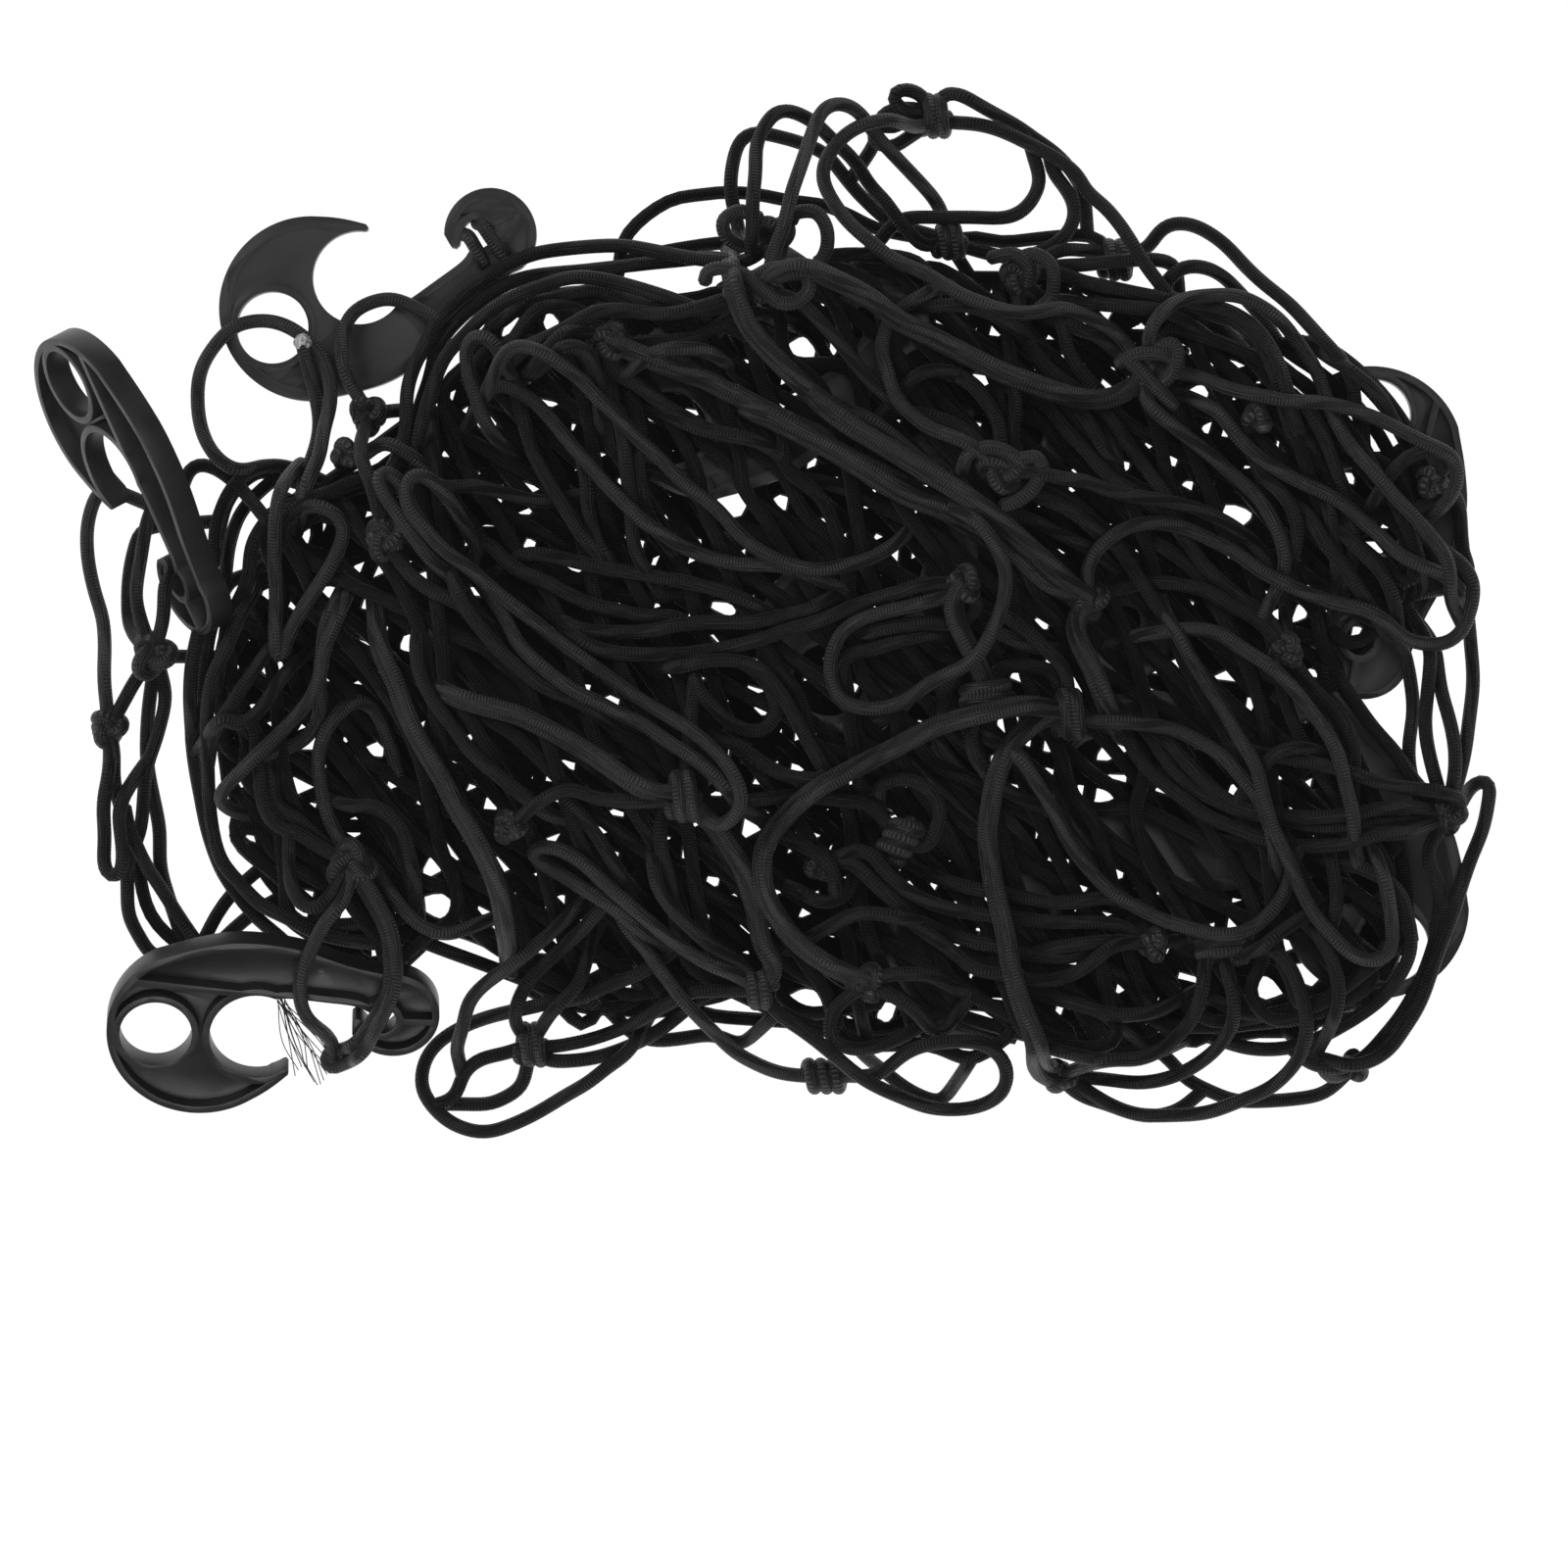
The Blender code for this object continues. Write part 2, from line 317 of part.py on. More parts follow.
6 S -74.3,-137 -70,-138 -63,-137 -54,-135 -46,-132 -39,-129 -33,-125 -27,-122 -23,-120 -1.6,-119.5
5 s -74.3,-137 -70,-142 -61,-142 -53,-141 -44,-138 -36,-134 -30,-130 -23,-124
8 s -50,-84 -57,-90 -61,-95 -67,-101 -73,-106 -79,-111 -85,-115 -90,-119 -94,-124 -95,-130
   -98,-138
7 s -46,-88 -53,-95 -58,-101 -64,-106 -70,-112 -75,-117 -78,-123 -80,-130
6 s -25.6,-58.4 -32,-63 -33,-69 -32,-78 -30,-85 -29,-91 -28,-99
6 s -36,-72 -35,-79 -34,-86 -30,-93 -25,-98 -20,-103 -13,-108 -8,-111 -1.6,-119.5
8 p -25.6,-58.4 -15,-69 -11,-75 -7,-81 -5,-88 -3,-94 -2,-101 0,-107 4,-112
7 s -58,-64 -54,-69 -50,-75 -46,-82 -43,-86 -38,-92
6 s -54,-102 -56,-108 -57,-113 -59,-118 -62,-121 -68,-127
7 S 42,-72 44,-79 51,-83 60,-86 68,-88 76,-89 85,-91 93,-92 101,-91 108,-90 116,-93
6 S 17,-80 31,-75 38,-83 46,-89 55,-93 64,-95 72,-96 81,-97 91,-98 101,-98 111,-99 122,-105
6 s 17,-80 27,-79 33,-85 40,-91 46,-98 53,-103 60,-108 66,-113 75,-114 83,-116 91,-116 99,-113
   104,-109 107,-106 114,-104
5 s 58,-102 65,-104 75,-106 81,-108 90,-109 96,-109 102,-107 110,-105
5 s 90,-106 97,-105 105,-104 114,-104 122,-105
5 s 75,-118 83,-120 91,-122 99,-124 108,-127 116,-127 123,-126 132,-122
5 s 84,-134 88,-137 96,-139 104,-141 113,-141 123,-139 131,-136
5 S 93,-147 99,-153 108,-156 116,-159 123,-160 131,-158
6 s 12,-104 17,-101 22,-98 28,-95 35,-95 41,-96 49,-98
6 s 4,-86 11,-88 15,-91 21,-92 26,-89 27,-87 28,-80
6 s 2,-70 12,-74 17,-77 21,-81 22,-86 22,-94
"""

# Outline of the hidden part of the heap
HEAP = """-172,-5 -166,8 -160,30 -148,40 -128,42 -116,54 -104,66 -96,84 -80,100 -50,104 -20,104 0,106
20,112 50,112 70,104 90,105 115,105 126,94 140,93 158,86 172,74 182,62 196,50 209,33 212,10 206,0
196,-8 184,-20 184,-45 196,-60 203,-72 207,-85 204,-104 195,-122 182,-133 150,-133 130,-140 110,-143
90,-140 77,-133 60,-128 45,-128 35,-140 20,-136 10,-126 0,-122 -20,-123 -40,-131 -60,-133 -68,-126
-84,-118 -86,-104 -100,-100 -116,-108 -120,-122 -130,-126 -140,-116 -146,-104 -156,-94 -168,-76
-173,-50"""

# Hidden strands: heading of their runs, distance between runs, waviness, layer, strand that is built
INNER = [
    (24.0, 10.0, 4.0, 1, 3),
    (-48.0, 10.0, 4.0, 2, 8),
]
INNER_STEP = 12.0       # distance between the points of a hidden run
INNER_SPAN = 300        # half the length of a run before it is cut to the outline
WAVE_SHORT = 23         # the two wave lengths of a hidden run
WAVE_LONG = 61
SHORT_ROW = 22          # routes with fewer samples are only laid
BUILT_LAYER = 8         # lower routes are built only where their kind is a capital letter

# Clear places seen through the heap: x, y, radius
CLEAR = [
    (-165, 31, 3), (-158, 7, 3), (-168, -5, 2), (-146, 23, 3), (-137, 6, 3), (-134, 53, 3),
    (-120, 47, 3), (-113, -10, 4), (-168, -41, 3), (-163, -72, 2), (-123, -44, 3), (-106, -82, 4),
    (-103, -93, 5), (-124, -107, 3), (-139, -125, 3), (-32, 104, 4), (-22, 104, 4), (-52, 96, 3),
    (-68, 92, 5), (-80, 90, 5), (-75, 74, 2), (-101, 68, 2), (-75, 21, 3), (-28, 71, 3),
    (-10, 34, 5), (-14, 32, 4), (-13, 99, 2), (11, 83, 5), (56, 97, 2), (20, 104, 2),
    (67, 71, 4), (137, 69, 4), (139, 58, 2), (113, 46, 3), (149, 30, 5), (163, -1, 3),
    (169, -2, 3), (206, 42, 3), (5, 33, 2), (-13, 1, 3), (55, -46, 2), (88, -4, 3),
    (100, -56, 2), (109, -59, 2), (165, -106, 3), (172, -115, 5), (158, -119, 5), (112, -120, 2),
    (128, -140, 3), (195, -52, 3), (199, -30, 6), (199, -18, 5), (199, -42, 5), (-45, -118, 3),
    (-89, -126, 3), (-26, -130, 3), (14, -122, 4), (38, -127, 4),
]
CLEAR_MARGIN = 3.0


# ---------------------------------------------------------------- routes

def read_points(text):
    """Points from words such as -12,40."""
    return np.array([[float(number) for number in word.split(",")] for word in text.split()])


def read_routes(table):
    """Rows of layer, kind and points; an indented line carries its row on."""
    joined = table.strip().replace("\n   ", " ")
    rows = []
    for line in joined.split("\n"):
        layer, kind, points = line.split(" ", 2)
        rows.append((float(layer), kind, read_points(points)))
    return rows


def smooth_route(points, step=SAMPLE):
    """A smooth curve through the points, read off at even steps."""
    ends = np.vstack([2 * points[0] - points[1], points, 2 * points[-1] - points[-2]])
    t = np.linspace(0, 1, 12, endpoint=False)[:, None]
    pieces = []
    for a, b, c, d in zip(ends, ends[1:], ends[2:], ends[3:]):
        pieces.append(0.5 * (2 * b + (c - a) * t + (2 * a - 5 * b + 4 * c - d) * t ** 2
                             + (3 * b - a - 3 * c + d) * t ** 3))
    pieces.append(points[-1:])
    return even_steps(np.vstack(pieces), step)


def even_steps(line, step):
    """The same line with its points a step apart."""
    length = np.concatenate([[0], np.cumsum(np.linalg.norm(np.diff(line, axis=0), axis=1))])
    count = max(4, int(round(length[-1] / step)))
    at = np.linspace(0, length[-1], count + 1)
    return np.column_stack([np.interp(at, length, line[:, axis]) for axis in range(line.shape[1])])


def beside(line, offset):
    """The line moved sideways, to its left."""
    ahead = np.gradient(line, axis=0)
    ahead /= np.linalg.norm(ahead, axis=1)[:, None]
    return line + offset * np.column_stack([-ahead[:, 1], ahead[:, 0]])


def inside(outline, x, y):
    """True where a point lies in the outline."""
    x1, y1 = outline[:, 0], outline[:, 1]
    x2, y2 = np.roll(x1, -1), np.roll(y1, -1)
    spans = (y1 > y) != (y2 > y)
    run = np.where(spans, (x2 - x1) * (y - y1) / np.where(y2 == y1, 1, y2 - y1) + x1, np.inf)
    return np.count_nonzero(spans & (x < run)) % 2 == 1


def pushed_clear(line):
    """The line led round the clear places."""
    moved = line.copy()
    for x, y, radius in CLEAR:
        away = moved - (x, y)
        distance = np.linalg.norm(away, axis=1)
        reach = radius + CLEAR_MARGIN
        near = distance < reach
        moved[near] = (x, y) + away[near] / np.maximum(distance[near], 0.1)[:, None] * reach
    return moved


def hidden_strands(heading, spacing, wave, number):
    """Wavy runs to and fro across the heap; each strand takes three runs, two apart."""
    outline = read_points(HEAP)
    angle = math.radians(heading)
    along = np.array([math.cos(angle), math.sin(angle)])
    across = np.array([-along[1], along[0]])
    reach = outline @ across
    runs = []
    for row, offset in enumerate(np.arange(reach.min() + spacing, reach.max() - spacing / 2, spacing)):
        span = np.arange(-INNER_SPAN, INNER_SPAN, INNER_STEP)
        sway = np.sin(span / WAVE_SHORT + row * 0.35 + number) * np.cos(span / WAVE_LONG + row * 0.2)
        wavy = offset + wave * sway
        line = span[:, None] * along + wavy[:, None] * across
        kept = np.array([inside(outline, x, y) for x, y in line])
        edges = np.flatnonzero(np.diff(np.concatenate([[0], kept.astype(int), [0]])))
        parts = [line[a:b] for a, b in zip(edges[::2], edges[1::2]) if b - a > 3]
        if parts:
            runs.append(max(parts, key=len))
    strands = []
    for first in range(0, len(runs), 6):
        for start in (first, first + 1):
            chosen = runs[start:min(first + 6, len(runs)):2]
            if not chosen:
                continue
            turned = [run if index % 2 == 0 else run[::-1] for index, run in enumerate(chosen)]
            strands.append(smooth_route(pushed_clear(np.vstack(turned)), SAMPLE * 1.5))
    return strands


# ---------------------------------------------------------------- laying

class Pile:
    """The lowest height at which a strand's middle may lie, over the whole field."""

    def __init__(self):
        shape = (int(2 * FIELD_X / CELL) + 1, int(2 * FIELD_Y / CELL) + 1)
        self.low = np.full(shape, CORD_RADIUS)
        self.hooks = np.full(shape, CORD_RADIUS)
        self.laid = []

    def cells(self, points):
        column = np.clip(np.rint((points[:, 0] + FIELD_X) / CELL).astype(int), 0, self.low.shape[0] - 1)
        row = np.clip(np.rint((points[:, 1] + FIELD_Y) / CELL).astype(int), 0, self.low.shape[1] - 1)
        return column, row

    def under(self, points, field=None):
        """The height needed at each point."""
        return (self.low if field is None else field)[self.cells(points)]

    def cover(self, field, points, reach):
        """Raise the field over spheres of this reach."""
        span = int(math.ceil(reach / CELL))
        steps = np.arange(-span, span + 1)
        column, row = self.cells(points)
        for i in steps:
            for j in steps:
                c = np.clip(column + i, 0, field.shape[0] - 1)
                r = np.clip(row + j, 0, field.shape[1] - 1)
                square = (c * CELL - FIELD_X - points[:, 0]) ** 2 + (r * CELL - FIELD_Y - points[:, 1]) ** 2
                near = square < reach ** 2
                height = points[near, 2] + np.sqrt(reach ** 2 - square[near])
                np.maximum.at(field, (c[near], r[near]), height)


def draped(need, step):
    """A strand's heights over what it needs: it bends over crests and never rises steeply."""
    knee = SLOPE / (2 * CREST)
    top = need.copy()
    for shift in range(1, min(int(DRAPE_REACH / step), len(need))):
        away = shift * step
        drop = CREST * away ** 2 if away < knee else SLOPE * away - CREST * knee ** 2
        top[shift:] = np.maximum(top[shift:], need[:-shift] - drop)
        top[:-shift] = np.maximum(top[:-shift], need[shift:] - drop)
    span = int(3 * DRAPE_WIDTH / step)
    taps = np.arange(-span, span + 1) * step
    weight = np.exp(-0.5 * (taps / DRAPE_WIDTH) ** 2)
    padded = np.pad(top, len(taps) // 2, mode="edge")
    soft = np.convolve(padded, weight / weight.sum(), mode="valid")
    return np.maximum(top, soft)


def softened(line):
    """The line with its corners eased; its ends stay."""
    soft = line.copy()
    for _ in range(4):
        soft[1:-1] = (soft[:-2] + 2 * soft[1:-1] + soft[2:]) / 4
    return soft


def ease(value):
    value = np.clip(value, 0, 1)
    return value * value * (3 - 2 * value)


def lay_strand(pile, line, knots, group, paired=False):
    """Give the strand its heights, join its ends to a knot or a lower strand, and add it to the pile."""
    step = float(np.linalg.norm(line[1] - line[0]))
    pins = {}
    joined = []
    for end in (0, -1):
        nearest = min(knots, key=lambda knot: math.dist(knot[:2], line[end]), default=None)
        if nearest is not None and math.dist(nearest[:2], line[end]) < KNOT_REACH:
            pins[end] = nearest[2]
            joined.append(nearest[3])
            bridge = np.linspace(line[end], nearest[:2], 4)[1:]
            line = np.vstack([line, bridge]) if end else np.vstack([bridge[::-1], line])
            continue
        ahead = line[end] - line[4 if end == 0 else -5]
        target = tuck_target(pile, line[end] + TUCK_AHEAD * ahead / np.linalg.norm(ahead))
        if target is not None:
            pins[end] = target[2]
            joined.append(int(target[3]))
            bridge = np.linspace(line[end], target[:2], 8)[1:]
            line = np.vstack([line, bridge]) if end else np.vstack([bridge[::-1], line])
    line = even_steps(softened(line), step)
    lanes = [beside(line, PAIR_PITCH / 2), beside(line, -PAIR_PITCH / 2)] if paired else [line]
    need = np.max([pile.under(lane) for lane in lanes], axis=0)
    along = np.arange(len(line)) * step
    for end in pins:
        away = along if end == 0 else along[-1] - along
        need = np.where(away < TUCK_LENGTH * 0.8, CORD_RADIUS, need)
    flat = np.linalg.norm(line[:, None] - line[None], axis=2)
    reach = 2 * CORD_RADIUS + CORD_GAP + (PAIR_PITCH / 2 if paired else 0)
    earlier = (along[:, None] - along[None] > LOOP_LENGTH) & (flat < reach)
    lift = np.sqrt(np.maximum(reach ** 2 - flat ** 2, 0))
    height = draped(need, step)
    for _ in range(3):
        over = np.where(earlier, height[None] + lift, 0).max(axis=1)
        height = draped(np.maximum(need, over), step)
    for end, level in pins.items():
        away = along if end == 0 else along[-1] - along
        share = ease(away / TUCK_LENGTH)
        height = share * height + (1 - share) * level
    height = np.max([height] + [pile.under(lane, pile.hooks) for lane in lanes], axis=0)
    laid = np.column_stack([line, height])
    for lane in lanes:
        pile.cover(pile.low, np.column_stack([lane, height]), 2 * CORD_RADIUS + CORD_GAP)
    lean = lifted_off_hooks(pile, thinned(laid, THIN), (PAIR_PITCH / 2, -PAIR_PITCH / 2) if paired else (0,))
    pile.laid.append((even_steps(lean, SAMPLE), group))
    return lean, joined


def lifted_off_hooks(pile, line, offsets):
    """Raise a thinned line where its straight parts would cut into a hook."""
    line = line.copy()
    for _ in range(3):
        for index in range(len(line) - 1):
            ahead = line[index + 1] - line[index]
            side = np.array([-ahead[1], ahead[0], 0]) / max(np.linalg.norm(ahead[:2]), 0.1)
            share = np.linspace(0, 1, int(np.linalg.norm(ahead) / CELL) + 2)[:, None]
            run = line[index] + share * ahead
            short = max((pile.under(run + off * side, pile.hooks) - run[:, 2]).max() for off in offsets)
            line[index:index + 2, 2] += max(short, 0)
    return line


def tuck_target(pile, point):
    """The nearest place on a laid strand to which a loose end can dive."""
    best = None
    for laid, group in pile.laid:
        distance = np.linalg.norm(laid[:, :2] - point, axis=1)
        open_above = laid[:, 2] + 0.1 >= pile.under(laid, pile.hooks)
        distance = np.where(open_above, distance, np.inf)
        index = int(np.argmin(distance))
        if distance[index] < TUCK_REACH and (best is None or distance[index] < best[0]):
            best = (distance[index], *laid[index], group)
    return None if best is None else best[1:]


def lay_knot(pile, knot, group):
    """A knot sits on what is under it and holds its strands at its middle."""
    x, y, heading, length, radius, _ = knot
    angle = math.radians(heading)
    along = np.linspace(-length / 2, length / 2, 7)
    spine = np.column_stack([x + along * math.cos(angle), y + along * math.sin(angle)])
    height = float(pile.under(spine).max()) + (radius - CORD_RADIUS)
    ball = np.column_stack([spine, np.full(7, height)])
    pile.cover(pile.low, ball, radius + CORD_RADIUS + CORD_GAP)
    return x, y, height, group, knot


# ---------------------------------------------------------------- hook shape

def arc(centre_u, centre_v, radius, start, end, count):
    """Points on an arc, angles in degrees."""
    angles = np.radians(np.linspace(start, end, count))
    return [(centre_u + radius * math.cos(a), centre_v + radius * math.sin(a)) for a in angles]


def hook_outline():
    """The hook's edge, counterclockwise: head, arm's back, curl, slot, arm's inside, mouth, horn."""
    edge = arc(0, 0, HEAD_RADIUS, 62, 263, 10)
    edge += [(16.0, -30.4), (34.0, -26.2), (52.0, -17.0)]
    edge += arc(*CURL, -70, 150, 7)[1:]
    edge += [(48.2, 0.6), (52.2, 1.6)]
    edge += arc(*SLOT, 130, -130, 5)
    edge += [(49.6, -4.6), (31.0, -9.6)]
    edge += arc(*MOUTH, -62, -300, 7)
    edge += [(26.4, 17.6)]
    return edge


def inset(loop, width):
    """The closed loop moved inwards; its points keep their order."""
    moved = []
    for index, point in enumerate(loop):
        before = Vector(loop[index - 1])
        after = Vector(loop[(index + 1) % len(loop)])
        here = Vector(point)
        first = (here - before).normalized()
        second = (after - here).normalized()
        normal = Vector((-first.y, first.x)) + Vector((-second.y, second.x))
        normal.normalize()
        widen = 1 / max(0.6, normal.dot(Vector((-first.y, first.x))))
        moved.append(tuple(here + normal * width * widen))
    return moved


def ring_faces(bm, lower, upper):
    """Faces between two rings of the same count."""
    for index in range(len(lower)):
        after = (index + 1) % len(lower)
        bm.faces.new((lower[index], lower[after], upper[after], upper[index]))


def level(bm, loop, height):
    return [bm.verts.new((u, v, height)) for u, v in loop]


def fill_between(bm, rings):
    """One flat face region inside the first ring and outside the others."""
    edges = []
    for ring in rings:
        edges += [bm.edges.get((ring[i], ring[(i + 1) % len(ring)])) or
                  bm.edges.new((ring[i], ring[(i + 1) % len(ring)])) for i in range(len(ring))]
    bmesh.ops.triangle_fill(bm, use_beauty=True, use_dissolve=False, edges=edges)


def hook_mesh():
    """A plate with a raised rim on its hollow side, a ringed round hole and an open mouth."""
    outer = hook_outline()
    inner = inset(outer, RIM)
    hole = arc(*HOLE, 0, 360, 9)[:-1]
    ring = arc(HOLE[0], HOLE[1], HOLE[2] + RIM, 0, 360, 9)[:-1]
    top, bottom, floor = HOOK_THICK / 2, -HOOK_THICK / 2, -HOOK_THICK / 2 + POCKET
    bm = bmesh.new()
    outer_top = level(bm, outer, top)
    outer_low = level(bm, outer, bottom)
    inner_low = level(bm, inner, bottom)
    inner_floor = level(bm, inner, floor)
    hole_top = level(bm, hole, top)
    hole_low = level(bm, hole, bottom)
    ring_low = level(bm, ring, bottom)
    ring_floor = level(bm, ring, floor)
    ring_faces(bm, outer_low, outer_top)
    ring_faces(bm, inner_low, outer_low)
    ring_faces(bm, inner_floor, inner_low)
    ring_faces(bm, hole_top, hole_low)
    ring_faces(bm, hole_low, ring_low)
    ring_faces(bm, ring_low, ring_floor)
    fill_between(bm, [outer_top, hole_top])
    fill_between(bm, [inner_floor, ring_floor])
    bmesh.ops.recalc_face_normals(bm, faces=bm.faces)
    bmesh.ops.scale(bm, vec=(MM, MM, MM), verts=bm.verts)
    mesh = bpy.data.meshes.new("hook")
    bm.to_mesh(mesh)
    bm.free()
    return mesh


def hook_turn(heading, roll, pitch):
    """The hook's turn: roll about its length, then pitch, then heading."""
    return (Matrix.Rotation(math.radians(heading), 3, "Z")
            @ Matrix.Rotation(math.radians(-pitch), 3, "Y")
            @ Matrix.Rotation(math.radians(roll), 3, "X"))


def hook_surface(turn):
    """Points all over the hook, turned, about its head's middle."""
    edge = np.array(hook_outline())
    around = np.vstack([edge, even_steps(np.vstack([edge, edge[:1]]), 2.0)])
    hole = np.array(arc(*HOLE, 0, 360, 36))
    grid = [(u, v) for u in np.arange(-29, 76, 2.0) for v in np.arange(-31, 30, 2.0)
            if inside(edge, u, v) and math.dist((u, v), HOLE[:2]) > HOLE[2]]
    flat = np.vstack([around, hole, grid])
    faces = [np.column_stack([flat, np.full(len(flat), w)]) for w in (-HOOK_THICK / 2, HOOK_THICK / 2)]
    middle = [np.column_stack([around, np.full(len(around), w)]) for w in (-1.5, 1.5)]
    return np.vstack(faces + middle) @ np.array(turn).T


def lay_hook(pile, row):
    """Set the hook on what is under it; returns its middle's height."""
    _, x, y, heading, roll, pitch, layer = row
    points = hook_surface(hook_turn(heading, roll, pitch))
    points[:, :2] += (x, y)
    if layer == 0:
        height = -points[:, 2].min()
    else:
        ground = pile.under(points) - CORD_RADIUS
        height = float((ground - points[:, 2]).max())
    points[:, 2] += height
    pile.cover(pile.low, points, CORD_RADIUS + HOOK_GAP)
    pile.cover(pile.hooks, points, CORD_RADIUS + HOOK_GAP)
    return height


# ---------------------------------------------------------------- meshes

def thinned(line, tolerance):
    """The line with only the points that its shape needs."""
    keep = np.zeros(len(line), bool)
    keep[[0, -1]] = True
    spans = [(0, len(line) - 1)]
    while spans:
        first, last = spans.pop()
        if last - first < 2:
            continue
        start, chord = line[first], line[last] - line[first]
        share = np.clip((line[first:last] - start) @ chord / max(chord @ chord, 1e-9), 0, 1)
        off = np.linalg.norm(line[first:last] - start - share[:, None] * chord, axis=1)
        worst = int(np.argmax(off))
        if off[worst] > tolerance:
            keep[first + worst] = True
            spans += [(first, first + worst), (first + worst, last)]
    chosen = [line[0]]
    for point in line[keep][1:-1]:
        if min(math.dist(point, chosen[-1]), math.dist(point, line[-1])) > SHORTEST:
            chosen.append(point)
    return np.array(chosen + [line[-1]])


def tube_mesh(line, wide):
    """A closed tube along the line, flat underneath."""
    bm = bmesh.new()
    ahead = np.gradient(line, axis=0)
    rings = []
    for point, forward in zip(line, ahead):
        forward = Vector(forward).normalized()
        side = forward.cross(Vector((0, 0, 1))).normalized()
        up = side.cross(forward)
        ring = []
        for right, above in ((1, 1), (-1, 1), (-1, -1), (1, -1)):
            corner = Vector(point) + right * wide * side + above * CORD_RADIUS * up
            ring.append(bm.verts.new(corner * MM))
        rings.append(ring)
    for lower, upper in zip(rings, rings[1:]):
        ring_faces(bm, lower, upper)
    bm.faces.new(rings[0])
    bm.faces.new(rings[-1])
    bmesh.ops.recalc_face_normals(bm, faces=bm.faces)
    mesh = bpy.data.meshes.new("strand")
    bm.to_mesh(mesh)
    bm.free()
    return mesh


def knot_mesh(x, y, z, heading, length, radius):
    """A knot with two ridges, turned about its own length."""
    profile = [(-0.5, 0.55), (-0.25, 1.0), (0.0, 0.74), (0.25, 1.0), (0.5, 0.55)]
    sides = 6
    angle = math.radians(heading)
    along = Vector((math.cos(angle), math.sin(angle), 0))
    side = Vector((-along.y, along.x, 0))
    up = Vector((0, 0, 1))
    centre = Vector((x, y, z))
    bm = bmesh.new()
    rings = []
    for place, width in profile:
        ring = []
        for corner in range(sides):
            turn = 2 * math.pi * (corner + 0.25) / sides
            spoke = math.cos(turn) * side + math.sin(turn) * up
            ring.append(bm.verts.new((centre + place * length * along + width * radius * spoke) * MM))
        rings.append(ring)
    for lower, upper in zip(rings, rings[1:]):
        ring_faces(bm, lower, upper)
    bm.faces.new(rings[0])
    bm.faces.new(rings[-1])
    bmesh.ops.recalc_face_normals(bm, faces=bm.faces)
    mesh = bpy.data.meshes.new("knot")
    bm.to_mesh(mesh)
    bm.free()
    return mesh


def material(name, colour, roughness):
    made = bpy.data.materials.new(name)
    made.use_nodes = True
    shader = made.node_tree.nodes["Principled BSDF"]
    shader.inputs["Base Color"].default_value = (*colour, 1)
    shader.inputs["Roughness"].default_value = roughness
    shader.inputs["Metallic"].default_value = 0.0
    return made


def place_object(name, mesh, finish):
    piece = bpy.data.objects.new(name, mesh)
    bpy.context.scene.collection.objects.link(piece)
    if not mesh.materials:
        mesh.materials.append(finish)
    return piece


# ---------------------------------------------------------------- the heap

def lay_heap():
    """Lay everything in order of its layer. Returns the strands, knots and hooks that are built."""
    jobs = [(row[6], 0, "hook", row) for row in HOOKS]
    jobs += [(row[5] - 0.3, 1, "knot", row) for row in KNOTS]
    jobs += [(row[3], 2, "hidden", row) for row in INNER]
    jobs += [(layer, 3, kind, points) for layer, kind, points in read_routes(ROUTES)]
    jobs.sort(key=lambda job: (job[0], job[1]))
    pile = Pile()
    knots, hooks, strands, links = [], [], [], []
    group = 0
    for layer, _, kind, row in jobs:
        if kind == "hook":
            hooks.append((row, lay_hook(pile, row)))
        elif kind == "knot":
            knots.append(lay_knot(pile, row, group))
            links.append(set())
            group += 1
        else:
            hidden = kind == "hidden"
            paired = kind.lower() in "pb"
            lines = hidden_strands(*row[:4]) if hidden else [smooth_route(row)]
            for index, line in enumerate(lines):
                seen = kind.isupper() or (layer >= BUILT_LAYER and len(line) > SHORT_ROW)
                built = index == row[4] if hidden else seen
                if not built:
                    lay_strand(pile, line, [] if hidden else knots, -1, paired)
                    pile.laid.pop()
                    continue
                laid, joined = lay_strand(pile, line, [] if hidden else knots, group, paired)
                strands.append((group, laid, paired))
                links.append(set(joined))
                group += 1
    return strands, knots, hooks, links


def joined_to_most(links):
    """For each strand and knot, whether it hangs together with the greatest number of others."""
    root = list(range(len(links)))

    def find(item):
        while root[item] != item:
            item = root[item]
        return item

    for item, joined in enumerate(links):
        for other in joined:
            root[find(item)] = find(other)
    roots = [find(item) for item in range(len(links))]
    main = max(set(roots), key=roots.count)
    return [item == main for item in roots]


def make_hooks(hooks):
    """All hooks share one mesh."""
    plastic = material("plastic", (0.016, 0.016, 0.017), 0.38)
    shared = hook_mesh()
    for (name, x, y, heading, roll, pitch, _), height in hooks:
        piece = place_object(name, shared, plastic)
        piece.location = (x * MM, y * MM, height * MM)
        piece.rotation_euler = hook_turn(heading, roll, pitch).to_euler()


